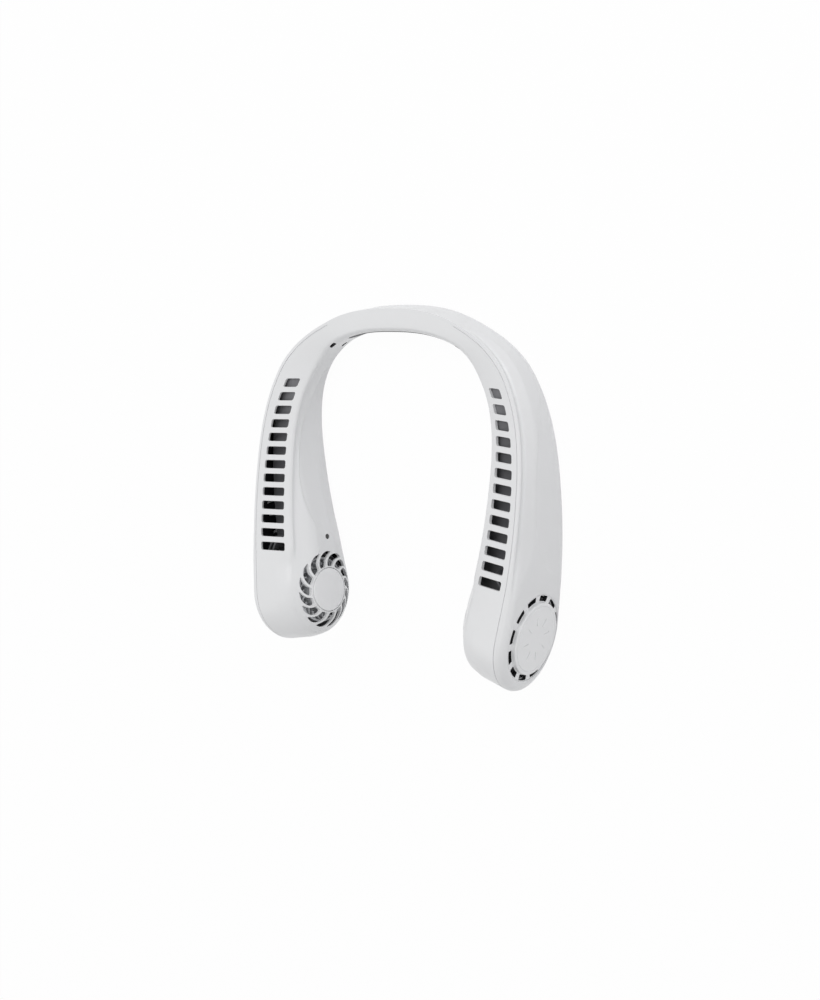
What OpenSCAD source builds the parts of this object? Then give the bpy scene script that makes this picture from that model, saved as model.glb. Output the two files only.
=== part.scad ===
/* [Neck path] */
// Half width of the U, measured at the middle of the slot rows
half_w = 85.8; // [78:0.2:96]
// Depth of the rounded back, from the widest place to the back of the neck
rear_reach = 91.4; // [85:0.5:105]
// Squareness of the rounded back: 2 is an ellipse, more is squarer
squareness = 2.55; // [2.1:0.1:3]
// Radius on which the arms turn inwards
toe_r = 340; // [280:5:400]
// Angle by which the ends of the arms point inwards
toe_a = 8.2; // [6:0.5:13]
// Length of the arms, from the widest place to the fan axis
arm_l = 80.6; // [74:0.5:90]

/* [Arms] */
// Radius of the round head about the fan axis, seen from the side
head_r = 30.2; // [29:0.5:32]
// Drop of the fan axis below the middle of the head
fan_drop = 1.4; // [0:0.1:3]
// Height of the band at the back of the neck
back_h = 16.6; // [15:0.1:20]
// Inward tilt of the slotted face
tilt_a = 14.2; // [12:1:20]
// Radius of the edge between the slotted face and the neck side
edge_r = 5; // [3:0.5:6]
// Bare margin of the slotted face between the slots and the seam
seam_margin = 3.5; // [3.5:0.1:6]
// Bare margin between the first slot behind the neck and the neck side
neck_margin = 3.4; // [1:0.1:4]
// Bare margin between the last slot at the head and the neck side
head_margin = 4.7; // [3:0.1:6]
// Thickness of the band at the back of the neck
band_t = 14; // [10:0.5:15]
// Path length from the middle of the back to the end of the covers
cover_start = 46; // [40:1:60]
// Width of the rim of a cover beside the seam
rim_w = 2; // [1.5:0.1:2.5]
// Height of the swell of a cover over its rim, beside the slots
swell_h = 3.2; // [2:0.1:5]
// Height of the swell of a cover over its rim, at the fan axis
swell_head_h = 4.1; // [3:0.1:8]
// Height of the belly on the neck side of the head
belly_h = 7.4; // [5:0.1:8]
// Wall thickness of the shells
wall = 1.8; // [1.5:0.1:2.2]

/* [Neck pad] */
// Half length of the pad behind the neck
pad_s = 39; // [25:1:42]
// Height of the pad above the table at its lower edge
pad_low_z = 3; // [2:0.5:5]
// Standing height of the pad over the inner face of the band
pad_proud = 0.4; // [0:0.1:1]

/* [Air slots] */
// Number of air slots on each arm
slot_n = 13; // [9:1:13]
// Distance from slot to slot, along the middle line of the U
slot_pitch = 8.3; // [8:0.1:8.5]
// Open width of a slot
slot_w = 5.2; // [4.4:0.1:5.8]
// Length of the slot nearest to the head
slot_l_head = 18; // [16:0.5:19]
// Length of the slot nearest to the neck
slot_l_neck = 12; // [10:0.5:14]
// Distance from the fan axis to the slot nearest to the head
slot_start = 34.5; // [33:0.5:38]

/* [Fans] */
// Number of openings in the spiral grille
grille_n = 15; // [12:1:18]
// Inner radius of the grille openings
grille_in_r = 15; // [14.8:0.1:16]
// Outer radius of the grille openings, along the arm
grille_out_r = 24.4; // [22:0.1:24.6]
// Lead of the outer end of an opening over its inner end
grille_lead_a = 20; // [10:1:30]
// Radius of the disc at the middle of the grille
grille_disc_r = 13.6; // [12:0.1:13.8]
// Radius of the cap in the cover
cap_r = 25.1; // [24:0.1:25.5]
// Radius of the raised disc on the cap
cap_disc_r = 19.7; // [18:0.1:20]
// Number of openings round the cap
cap_slot_n = 12; // [8:1:16]
// Radius of the impeller
impeller_r = 20.5; // [18:0.5:21]
// Number of impeller blades
blade_n = 24; // [12:1:30]

/* [Power] */
// Radius of a battery cell
cell_r = 7.1; // [6:0.1:7.2]
// Length of a battery cell
cell_l = 50; // [35:1:50]
// Radius of the power button
button_r = 4; // [3:0.1:4.5]
// Travel of the power button
button_travel = 0.5; // [0.2:0.1:0.6]

/* [Hidden] */
over = 1;
right_a = 90;
turn_a = 360;
round_fn = 48;
arc_fn = 96;

// Path of the slot row in plan, from the middle of the back to beyond the right head
rear_steps = 24;
toe_steps = 6;
rear_pts = [for (i = [0:rear_steps]) let (a = right_a * i / rear_steps)
    [half_w * pow(sin(a), 2 / squareness), rear_reach * pow(cos(a), 2 / squareness)]];
toe_pts = [for (i = [1:toe_steps]) let (a = toe_a * i / toe_steps)
    [half_w - toe_r * (1 - cos(a)), -toe_r * sin(a)]];
toe_end = toe_pts[toe_steps - 1];
straight_l = 3 * head_r;
plan = concat(rear_pts, toe_pts, [toe_end - straight_l * [sin(toe_a), cos(toe_a)]]);
function run_to(i) = i == 0 ? 0 : run_to(i - 1) + norm(plan[i] - plan[i - 1]);
runs = [for (i = [0:len(plan) - 1]) run_to(i)];
x_table = [for (i = [0:len(plan) - 1]) [runs[i], plan[i].x]];
y_table = [for (i = [0:len(plan) - 1]) [runs[i], plan[i].y]];
heading_table = concat([[0, right_a]], [for (i = [0:len(plan) - 2])
    let (d = plan[i + 1] - plan[i]) [(runs[i] + runs[i + 1]) / 2, atan2(d.x, -d.y)]]);
rear_l = runs[rear_steps];
fan_s = rear_l + arm_l;
fan_y = lookup(fan_s, y_table);
head_z = head_r;
fan_z = head_r - fan_drop;
// The top line starts at the height of the band and touches the round heads
reach = rear_reach + arm_l;
rise_a = atan((head_r - back_h) / reach) + asin(head_r / norm([reach, head_r - back_h]));
s_table = [for (i = [len(plan) - 1:-1:0]) [plan[i].y, runs[i]]];
function sgn(s) = s < 0 ? -1 : 1;
// Angle of the outward normal: a right angle at the back of the neck, 0 at the widest place
function heading(s) = lookup(abs(s), heading_table);
function place(s, n) = let (a = heading(s), t = abs(s))
    [sgn(s) * (lookup(t, x_table) + n * cos(a)), lookup(t, y_table) + n * sin(a) + shift_y];
// Frame of a part in the right arm: X outward, Y back along the arm, Z up
module at_arm(s, z) {
    q = place(s, 0);
    translate([q.x, q.y, z]) rotate([0, 0, heading(s)]) children();
}
// Frame of a part on the fan axis: Z outward, X down, Y back
module at_fan() {
    at_arm(fan_s, fan_z) rotate([0, right_a, 0]) children();
}
module left() {
    mirror([1, 0, 0]) children();
}
module ring(r_out, r_in, h, fn = arc_fn) {
    linear_extrude(h) difference() {
        circle(r_out, $fn = fn);
        circle(r_in, $fn = fn);
    }
}

function smooth(t) = let (u = min(1, max(0, t))) u * u * (3 - 2 * u);
function mix(a, b, t) = a + (b - a) * t;
// Top line of the arms
function top_z(s) = head_z + head_r / cos(rise_a) - tan(rise_a) * (lookup(abs(s), y_table) - fan_y);
slot_last = fan_s - slot_start;
function slot_s(i) = lookup(lookup(slot_last, y_table) + i * slot_pitch, s_table);
slot_first = slot_s(slot_n - 1);
function slot_l(s) = mix(slot_l_neck, slot_l_head,
    min(1, max(0, (abs(s) - slot_first) / (slot_last - slot_first))));
// Arm widths follow the slots, and narrow to the band at the back
widen_start = 45;
function widen(s) = smooth((abs(s) - widen_start) / (slot_first - widen_start));
seam_band = band_t / 2 - rim_w;
function seam_n(s) = mix(seam_band, slot_l(s) / 2 * cos(tilt_a) + seam_margin, widen(s));
function neck_margin_at(s) = lookup(abs(s), [[slot_first, neck_margin], [slot_last, head_margin]]);
function neck_n(s) = mix(-band_t / 2, -slot_l(s) / 2 * cos(tilt_a) - neck_margin_at(s), widen(s));
function swell_at(s) = lookup(abs(s), [[slot_first, swell_h],
    [slot_last, (swell_h + swell_head_h) / 2], [fan_s - head_r / 2, swell_head_h]]);

// Outline of the right half, seen from the side. A station is a pair of points, top and bottom, its
// half height and the end wall share. A point is [path length, z, inward direction along the path and
// in height, share of the tilt, share of the top]
tip_steps = 7;
tip_gap_share = 0.5;
station_pitch = 12;
tip_s = fan_s - head_r * sin(rise_a);
station_n = floor((tip_s - cover_start) / station_pitch);
band_n = 4;
tilt_start = 25;
tilt_full = 70;
tip_tilt_share = 0.6;
function tilt_share(s) = smooth((abs(s) - tilt_start) / (tilt_full - tilt_start))
    * mix(1, tip_tilt_share, smooth((abs(s) - slot_last) / (tip_s - slot_last)));
function pair(s, end, closed) = [[s, top_z(s), 0, -1, tilt_share(s), 1], [s, 0, 0, 1, 0, 0],
    top_z(s) / 2, end, closed];
function tip_pair(j, steps) = let (t = j / (steps + tip_gap_share), a = mix(-rise_a, right_a, t),
    b = right_a * t)
    [[fan_s + head_r * sin(a), head_z + head_r * cos(a), -sin(a), -cos(a),
        tip_tilt_share * pow(cos(max(0, a) / 2), 2), 1],
     [fan_s + head_r * sin(b), head_z - head_r * cos(b), -sin(b), cos(b),
        tip_tilt_share * pow(sin(b / 2), 2), smooth(b / right_a)], head_r, 0, 0];
function arm_list(start, shift, steps) = concat([pair(start, 1, 0)],
    [for (i = [1:station_n - 1]) pair(mix(start, tip_s, (i - shift) / station_n), 0, 0)],
    [for (j = [0:steps]) tip_pair(j, steps)]);
function flip_point(p) = [-p[0], p[1], -p[2], p[3], p[4], p[5]];
function flip(pairs) = [for (i = [len(pairs) - 1:-1:0])
    [flip_point(pairs[i][0]), flip_point(pairs[i][1]), pairs[i][2], pairs[i][3], pairs[i][4]]];
joint_step = 0.2;
function u_list(start, arm) = let (joint = [pair(start - joint_step, 0, 1)],
    band = [for (i = [1:band_n - 1]) pair(start * i / band_n, 0, 1)])
    concat(flip(concat(band, joint, arm)), [pair(0, 0, 1)], band, joint, arm);
arm_pairs = arm_list(cover_start, 0, tip_steps);
u_pairs = u_list(cover_start, arm_pairs);
// The hollow has stations of its own
hollow_start = cover_start + 0.6;
hollow_shift = 0.4;
hollow_arm_pairs = arm_list(hollow_start, hollow_shift, tip_steps - 1);
hollow_pairs = u_list(hollow_start, hollow_arm_pairs);
// The origin is the middle of the whole length
front_y = fan_y - head_r * sin(right_a * tip_steps / (tip_steps + tip_gap_share)) * cos(toe_a)
    - (seam_n(fan_s) + rim_w) * sin(toe_a);
back_y = rear_reach + band_t / 2;
shift_y = -(front_y + back_y) / 2;

// Solid between two sheets that follow the path. A layer is [n, inset] at the top of a station, the
// same at its bottom, its share of the tilt, and its distance to the end wall.
function layer_point(p, layer, end) = let (w = p[5], n = mix(layer[2], layer[0], w),
        tilt = p[4] * max(0, seam_n(p[0]) - n) * tan(tilt_a), inset = mix(layer[3], layer[1], w),
        d = inset + tilt * layer[4],
        q = place(p[0] + d * p[2] + end * layer[5], n))
    [q.x, q.y, p[1] + d * p[3]];
module sheet_solid(pairs, sections) {
    m = len(pairs);
    k = len(sections[0]);
    around = 2 * m;
    points = [for (l = [0:k - 1]) each concat(
        [for (i = [0:m - 1]) layer_point(pairs[i][0], sections[i][l], pairs[i][3])],
        [for (i = [m - 1:-1:0]) layer_point(pairs[i][1], sections[i][l], pairs[i][3])])];
    sides = [for (l = [0:k - 2]) for (i = [0:around - 1]) let (a = l * around + i,
        b = l * around + (i + 1) % around) each [[a, a + around, b + around], [a, b + around, b]]];
    first = [for (i = [0:m - 2]) each [[i, i + 1, around - 2 - i], [i, around - 2 - i, around - 1 - i]]];
    base = (k - 1) * around;
    last = [for (f = first) [f[2] + base, f[1] + base, f[0] + base]];
    polyhedron(points, concat(sides, first, last), convexity = 10);
}

// Cross-section of the frame: neck side, rounded edge, slotted face, seam. Beside the slots the neck
// side is flat. Towards the fan it swells to a dome about the fan axis.
// Flat side: share of the depth. Dome: [share of its height, inset]
belly_rise_l = 20;
belly_start = slot_first + belly_rise_l;
belly_full = fan_s - belly_rise_l;
flat_shares = [0.84, 0.3, 0.14, 0.04];
dome_table = [[1, 25.2], [1, 15.6], [0.64, 9.5], [0.36, 5.8]];
// Rounded edge of the dome: [n, inset]
dome_edge_table = [[-0.8, 3.9], [0.7, 2.4], [2.7, 1.2], [6, 0]];
edge_steps = 3;
function dome(s) = smooth((abs(s) - belly_start) / (belly_full - belly_start));
function belly_at(s) = belly_h * dome(s);
function edge_layer(s, i) = let (a = right_a * i / edge_steps, u = dome(s), e = dome_edge_table[i],
    n = neck_n(s) + mix(edge_r * (1 - cos(a)), e[0], u), d = mix(edge_r * (1 - sin(a)), e[1], u))
    [n, d, n, d, 1, 0];
function belly_layer(s, half, i, more_n, more_d) = let (u = i > 0 ? dome(s) : 0, b = dome_table[i],
    n = neck_n(s) - b[0] * belly_at(s) + more_n,
    d = mix(mix(edge_r, half, flat_shares[i]), b[1], u) + more_d)
    [n, d, n, d, mix(1 - flat_shares[i], 1, u), 0];
function neck_edge(s, half) = concat([for (i = [0:3]) belly_layer(s, half, i, 0, 0)],
    [for (i = [0:edge_steps]) edge_layer(s, i)]);
// Side of a cover from the seam to its middle: a rim, a valley and a swell at the top of the arm, a full
// round at the bottom and round the head. A share is [share of the swell, share of the depth]
top_shares = [[0.2, 0.14], [0.55, 0.36], [0.95, 0.65], [1, 0.85]];
bottom_shares = [[0.7, 0.16], [0.9, 0.3], [1, 0.5], [1, 0.8]];
head_shares = [[0.85, 0.11], [0.97, 0.165], [1, 0.27], [1, 0.8]];
rim_drop = 1;
rim_rise_share = 0.1;
low_rise_shares = [0.3, 0.5];
head_rise_shares = [0.35, 0.62];
head_rim_d = 0.6;
head_round_d = 1.7;
valley_depth = 0.6;
valley_d = 3;
round_d = 1.2;
head_blend_start = 60;
head_blend_l = 34;
function head_blend(s) = smooth((abs(s) - fan_s + head_blend_start) / head_blend_l);
function side_layer(a, b, t) = [for (i = [0:3]) mix(a[i], b[i], t)];
function cover_profile(s, half, off) = let (g = widen(s), e = seam_n(s) + rim_w, h = swell_at(s) * g,
        t = head_blend(s)) concat(
    [[seam_n(s), 0, seam_n(s), 0, 0, off], [e, 0, e, 0, 0, off]],
    [for (v = [
        side_layer([e + h * rim_rise_share, rim_drop, e + h * low_rise_shares[0], round_d / 2],
            [e + h * head_rise_shares[0], head_rim_d, e + h * head_rise_shares[0], head_rim_d], t),
        side_layer([e - valley_depth * g, valley_d, e + h * low_rise_shares[1], round_d],
            [e + h * head_rise_shares[1], head_round_d, e + h * head_rise_shares[1], head_round_d], t)])
        [v[0], v[1], v[2], v[3], 0, off]],
    [for (i = [0:3]) let (top = top_shares[i], low = bottom_shares[i], head = head_shares[i],
        v = side_layer(
            [e + h * top[0], mix(valley_d, half, top[1]), e + h * low[0], mix(round_d, half, low[1])],
            [e + h * head[0], half * head[1], e + h * head[0], half * head[1]], t))
        [v[0], v[1], v[2], v[3], 0, off]]);
band_layers = [0, 1, 3, 7];
flat_step = 0.4;
function frame_section(p) = let (s = p[0][0])
    concat(neck_edge(s, p[2]), let (c = cover_profile(s, p[2], 0)) [for (i = [0:3]) let (v = c[band_layers[i]])
        p[4] > 0 ? v : [seam_n(s), v[1] + i * flat_step, seam_n(s), v[3] + i * flat_step, 0, 0]]);

// Hollow of the frame: open at the seam in the arms, a closed tunnel in the band. More inset by layer
hollow_more_table = [0, 0.6, 1, 1.3];
// The low band has less of it: [half height, share]
hollow_share_table = [[8, 0.3], [16, 1]];
hollow_mid_table = [[2.7, 2.7], [2.2, 3.7]];
hollow_low_share = 0.85;
function hollow_section(p) = let (s = p[0][0], half = p[2], e = seam_n(s) + rim_w - wall, u = dome(s),
        out = p[4] > 0 ? e : seam_n(s) + over, n = neck_n(s),
        mid = mix(hollow_mid_table[0], hollow_mid_table[1], u), low = edge_layer(s, edge_steps)[0]) concat(
    [for (i = [0:3]) belly_layer(s, half, i, wall * (i < 3 ? 1 : hollow_low_share),
        hollow_more_table[i] * lookup(half, hollow_share_table))],
    [[n + mid[0], mid[1], n + mid[0], mid[1], 1, 0],
    [low, wall, low, wall, 1, 0], [out, wall, out, wall, 1, 0]]);
module hollow(pairs) {
    sheet_solid(pairs, [for (p = pairs) hollow_section(p)]);
}

// Fan levels along the axis, from the neck side outwards
grille_h = neck_n(fan_s) - belly_h;
disc_t = 1.4;
disc_gap = 0.4;
pad_t = 2.4;
pad_r = 13;
pocket_h = grille_h + disc_t;
pad_h = pocket_h + pad_t;
base_t = 1.6;
base_h = pad_h + base_t;
face_h = seam_n(fan_s) + rim_w + swell_head_h;
motor_screw_n = 3;
motor_screw_pcd_r = 8;
motor_screw_r = 1;
screw_gap = 0.1;
screw_head_r = 1.9;
screw_head_h = 0.9;

slot_corner_r = 1.2;
slot_up = 3;
slot_down = 5;
slot_fn = 8;
small_fn = 10;
pad_fn = 20;
pocket_fn = 36;
// Turns the facets of the pocket and of the pad away from the station at the fan axis
facet_turn_a = 2.5;
module slot_cutter(s) {
    x = slot_l(s) / 2 - slot_corner_r;
    y = slot_w / 2 - slot_corner_r;
    q = place(s, 0);
    lean = tan(heading(s)) + tan(rise_a) * sin(tilt_a);
    translate([q.x, q.y, top_z(s) - seam_n(s) * tan(tilt_a)]) rotate([0, -tilt_a, 0])
        rotate([-rise_a, 0, 0]) hull() for (a = [-x, x]) for (b = [-y, y])
            translate([a - b * lean, b, -slot_down])
                cylinder(slot_up + slot_down, r = slot_corner_r, $fn = slot_fn);
}
// An opening of the spiral grille: [share of the radial length, share of the half width]
grille_half_a = 8;
grille_shares = [[0, 0.6], [0.1, 1], [0.5, 1.04], [0.85, 0.9], [1, 0.35]];
grille_curve = 2.2;
grille_depth = 10;
grille_top_cut = 3.2;
grille_low_cut = 2;
function grille_point(g, side, at) = let (a = at + side * g[1] * grille_half_a
    - grille_lead_a * pow(g[0], grille_curve),
    out = grille_out_r - (cos(a) < 0 ? grille_top_cut : grille_low_cut) * pow(cos(a), 2),
    r = mix(grille_in_r, out, g[0])) [r * cos(a), r * sin(a)];
module grille_cutter() {
    for (k = [0:grille_n - 1]) let (at = turn_a * k / grille_n)
        translate([0, 0, grille_h - 2 * over]) linear_extrude(grille_depth) polygon(concat(
            [for (g = grille_shares) grille_point(g, 1, at)],
            [for (i = [len(grille_shares) - 1:-1:0]) grille_point(grille_shares[i], -1, at)]));
}
module hub_cutter() {
    rotate([0, 0, facet_turn_a]) translate([0, 0, grille_h - over])
        cylinder(disc_t + over, r = grille_disc_r + disc_gap, $fn = pocket_fn);
    for (i = [0:motor_screw_n - 1]) rotate([0, 0, turn_a * i / motor_screw_n])
        translate([motor_screw_pcd_r, 0, pocket_h - over])
            cylinder(pad_t + 2 * over, r = motor_screw_r + screw_gap, $fn = small_fn);
}

// Battery saddles and board bosses
cell_s = 172;
cell_z = wall + cell_r;
saddle_y = 15;
saddle_t = 2;
saddle_x = 6.6;
saddle_h = 3;
saddle_gap = 0.05;
board_s = 118;
board_l = 30;
board_w = 13;
board_z = 5.9;
board_t = 1.2;
boss_x = 4.6;
boss_r = 1.7;
board_screw_r = 0.9;
usb_y = board_l / 2 - 6;
usb_l = 9;
usb_w = 3.3;
usb_gap = 0.1;
usb_recess = 0.3;
usb_shell_t = 0.3;
button_y = -usb_y;
button_gap = 0.1;
button_recess = 0.3;
flange_over = 1;
flange_t = 0.7;
flange_gap = 0.1;
lens_s = fan_s - head_r - 2.5;
lens_z = 20.8;
lens_r = 1.7;
lens_gap = 0.05;
lens_flange_r = 2.6;
lens_flange_t = 0.8;
// Clearance to the curved inner wall
lens_flange_gap = 0.4;
lens_recess = 0.3;
lens_n = neck_n(lens_s) - belly_at(lens_s);
notch_s = 49;
notch_z_table = [6.3, 15.9];
notch_l = 4.2;
notch_w = 1.5;
notch_d = 4;
module saddles() {
    at_arm(cell_s, 0) for (y = [-saddle_y, saddle_y]) difference() {
        translate([-saddle_x, y - saddle_t / 2, wall / 2])
            cube([2 * saddle_x, saddle_t, wall / 2 + saddle_h]);
        translate([0, y - saddle_t, cell_z]) rotate([-right_a, 0, 0])
            cylinder(2 * saddle_t, r = cell_r + saddle_gap, $fn = pocket_fn);
    }
}
module notches() {
    at_arm(notch_s, 0) for (z = notch_z_table)
        translate([neck_n(notch_s) - over, -notch_l / 2, z - notch_w / 2])
            cube([notch_d + over, notch_l, notch_w]);
}
module stadium(l, w) {
    square([w, l - w], center = true);
    for (y = [-1, 1]) translate([0, y * (l - w) / 2]) circle(w / 2, $fn = round_fn);
}
module hub_pad() {
    at_fan() rotate([0, 0, facet_turn_a]) translate([0, 0, grille_h + wall / 2])
        cylinder(pad_h - grille_h - wall / 2, r = pad_r, $fn = pad_fn);
}
// Pad on the inner face of the band, in a shallow recess
pad_steps = 16;
pad_seat_d = 1;
pad_end_gap = 0.1;
pad_top_z = back_h - pad_low_z;
module pad_plan(half_l, proud) {
    list = [for (i = [-pad_steps:pad_steps]) half_l * i / pad_steps];
    polygon(concat([for (s = list) place(s, neck_n(s) + pad_seat_d)],
        [for (i = [2 * pad_steps:-1:0]) place(list[i], neck_n(list[i]) - proud)]));
}
module neck_pad() {
    color("dimgray") translate([0, 0, pad_low_z]) linear_extrude(pad_top_z - pad_low_z)
        pad_plan(pad_s, pad_proud);
}
module pad_recess() {
    translate([0, 0, pad_low_z - pad_end_gap]) linear_extrude(pad_top_z - pad_low_z + 2 * pad_end_gap)
        pad_plan(pad_s + pad_end_gap, over);
}
module frame_solid() {
    difference() {
        sheet_solid(u_pairs, [for (p = u_pairs) frame_section(p)]);
        hollow(hollow_pairs);
    }
    hub_pad();
    left() hub_pad();
    saddles();
    left() saddles();
    left() at_arm(board_s, wall / 2) for (x = [-boss_x, boss_x]) translate([x, 0, 0])
        cylinder(board_z - wall / 2, r = boss_r, $fn = small_fn);
}
module side_cutters() {
    for (i = [0:slot_n - 1]) slot_cutter(slot_s(i));
    at_fan() grille_cutter();
    at_fan() hub_cutter();
    notches();
}
module neck_frame() {
    color("gainsboro") difference() {
        frame_solid();
        side_cutters();
        left() side_cutters();
        pad_recess();
        left() at_arm(board_s, -over) {
            translate([0, usb_y, 0]) linear_extrude(wall + 2 * over)
                stadium(usb_l + 2 * usb_gap, usb_w + 2 * usb_gap);
            translate([0, button_y, 0]) cylinder(wall + 2 * over, r = button_r + button_gap, $fn = round_fn);
        }
        left() at_arm(board_s, 0) for (x = [-boss_x, boss_x]) translate([x, 0, wall])
            cylinder(board_z, r = board_screw_r + lens_gap, $fn = small_fn);
        left() at_arm(lens_s, lens_z) translate([lens_n - over, 0, 0]) rotate([0, right_a, 0])
            cylinder(wall + 2 * over, r = lens_r / cos(right_a * 2 / small_fn), $fn = small_fn);
    }
}

// Covers: a dish with a locating lip inside the frame wall and a groove along the seam
lip_h = 1.5;
lip_t = 1;
lip_gap = 0.35;
groove_h = 0.4;
groove_d = 0.5;
end_gap = 0.1;
layer_step = 0.1;
cover_wall = wall + lip_gap + lip_t;
inner_layers = [7, 5, 3];
function cover_section(p) = let (s = p[0][0], c = cover_profile(s, p[2], end_gap), n = seam_n(s)) concat(
    [for (i = inner_layers) [max(c[i][0] - wall, n + layer_step * i), max(c[i][1], cover_wall),
        max(c[i][2] - wall, n + layer_step * i), max(c[i][3], cover_wall), 0, cover_wall]],
    [[n - lip_h, cover_wall, n - lip_h, cover_wall, 0, cover_wall],
    [n - lip_h, wall + lip_gap, n - lip_h, wall + lip_gap, 1, wall + lip_gap],
    [n, wall + lip_gap, n, wall + lip_gap, 0, wall + lip_gap],
    [n, groove_d, n, groove_d, 0, end_gap],
    [n + groove_h, groove_d, n + groove_h, groove_d, 0, end_gap],
    [n + groove_h, 0, n + groove_h, 0, 0, end_gap]],
    [for (i = [1:len(c) - 1]) c[i]]);
cap_seat_h = face_h - 3.1;
cap_gap = 0.1;
seat_fn = 48;
cap_edge_h = face_h - 0.4;
ledge_r = 24;
ledge_t = 1.6;
ledge_wall = 1.5;
blend_r = 27.2;
blend_h = 0.5;
module right_cover_solid() {
    difference() {
        union() {
            sheet_solid(arm_pairs, [for (p = arm_pairs) cover_section(p)]);
            at_fan() translate([0, 0, cap_seat_h - ledge_t])
                ring(cap_r + ledge_wall, ledge_r, face_h - wall + layer_step - cap_seat_h + ledge_t, seat_fn);
        }
        at_fan() rotate_extrude($fn = seat_fn) polygon([[0, cap_seat_h], [cap_r + cap_gap, cap_seat_h],
            [cap_r + cap_gap, cap_edge_h], [blend_r, face_h + blend_h], [blend_r, face_h + over],
            [0, face_h + over]]);
    }
}
module right_cover() {
    color("white") right_cover_solid();
}
module left_cover() {
    color("white") left() right_cover_solid();
}

// Cap: slotted dished ring round a raised disc with an engraved circle
cap_slot_in_r = 20.4;
cap_slot_out_r = 23.9;
cap_bridge_w = 3.9;
cap_dish_h = face_h - 1.9;
cap_rim_h = face_h - 0.9;
cap_top_h = face_h + 1.1;
cap_bevel = 0.35;
cap_hollow_r = 18;
cap_skin_t = 1.5;
cap_line_r = 18.9;
cap_line_w = 0.35;
cap_line_d = 0.25;
mark_n = 8;
mark_in_r = 8;
mark_out_r = 13;
mark_w = 0.6;
module cap() {
    difference() {
        rotate_extrude($fn = arc_fn) polygon([[0, cap_seat_h], [cap_r, cap_seat_h], [cap_r, cap_edge_h],
            [cap_slot_out_r, cap_rim_h], [cap_slot_in_r, cap_dish_h], [cap_disc_r, cap_dish_h],
            [cap_disc_r, cap_top_h - cap_bevel], [cap_disc_r - cap_bevel, cap_top_h], [0, cap_top_h]]);
        translate([0, 0, cap_seat_h - over])
            cylinder(cap_top_h - cap_skin_t - cap_seat_h + over, r = cap_hollow_r, $fn = arc_fn);
        translate([0, 0, cap_seat_h - over]) linear_extrude(face_h - cap_seat_h + 2 * over) difference() {
            circle(cap_slot_out_r, $fn = arc_fn);
            circle(cap_slot_in_r, $fn = arc_fn);
            for (i = [0:cap_slot_n / 2 - 1]) rotate([0, 0, turn_a * (i + 1 / 2) / cap_slot_n])
                square([3 * cap_r, cap_bridge_w], center = true);
        }
        translate([0, 0, cap_top_h - cap_line_d]) ring(cap_line_r, cap_line_r - cap_line_w, over);
        for (i = [0:mark_n - 1]) rotate([0, 0, turn_a * i / mark_n])
            translate([mark_in_r, -mark_w / 2, cap_top_h - cap_line_d])
                cube([mark_out_r - mark_in_r, mark_w, over]);
    }
}
module right_cap() {
    color("whitesmoke") at_fan() cap();
}
module left_cap() {
    color("whitesmoke") left() at_fan() cap();
}
module grille_disc() {
    difference() {
        translate([0, 0, grille_h]) cylinder(disc_t, r = grille_disc_r, $fn = arc_fn);
        for (i = [0:motor_screw_n - 1]) rotate([0, 0, turn_a * i / motor_screw_n])
            translate([motor_screw_pcd_r, 0, pocket_h - screw_head_h - screw_gap])
                cylinder(2 * disc_t, r = screw_head_r + screw_gap, $fn = round_fn);
    }
}
module right_grille_disc() {
    color("whitesmoke") at_fan() grille_disc();
}
module left_grille_disc() {
    color("whitesmoke") left() at_fan() grille_disc();
}

// Motor
base_r = 11;
tube_r = 3.4;
bearing_r = 2.5;
bearing_l = 9;
shaft_r = 1;
run_gap = 0.05;
shoulder_r = 4.6;
shoulder_h = base_h + 1.5;
thrust_gap = 0.05;
core_h = 5;
core_r = 5.2;
pole_n = 9;
pole_w = 1.6;
pole_r = 8.6;
pole_tip_t = 0.9;
pole_gap_w = 1.2;
coil_w = 2.9;
coil_in_r = 5.4;
coil_l = 2;
coil_over = 0.6;
can_r = 11.2;
can_t = 0.8;
magnet_in_r = 9.1;
skirt_gap = 0.9;
can_h = base_h + bearing_l + 2.4;
boss_h = 2;
can_boss_r = 2.4;
magnet_h = 7.6;
magnet_drop = 1.8;
module motor_base() {
    difference() {
        union() {
            translate([0, 0, pad_h]) cylinder(base_t, r = base_r, $fn = arc_fn);
            translate([0, 0, base_h]) cylinder(shoulder_h - base_h, r = shoulder_r, $fn = round_fn);
            translate([0, 0, base_h]) cylinder(bearing_l + 1 / 2, r = tube_r, $fn = round_fn);
        }
        translate([0, 0, base_h]) cylinder(bearing_l + over, r = bearing_r, $fn = round_fn);
        for (i = [0:motor_screw_n - 1]) rotate([0, 0, turn_a * i / motor_screw_n])
            translate([motor_screw_pcd_r, 0, pad_h - over])
                cylinder(base_t + 2 * over, r = motor_screw_r, $fn = round_fn);
    }
}
module right_motor_base() {
    color("silver") at_fan() motor_base();
}
module left_motor_base() {
    color("silver") left() at_fan() motor_base();
}
module bearing() {
    translate([0, 0, base_h]) ring(bearing_r, shaft_r + run_gap, bearing_l);
}
module right_bearing() {
    color("goldenrod") at_fan() bearing();
}
module left_bearing() {
    color("goldenrod") left() at_fan() bearing();
}
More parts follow.
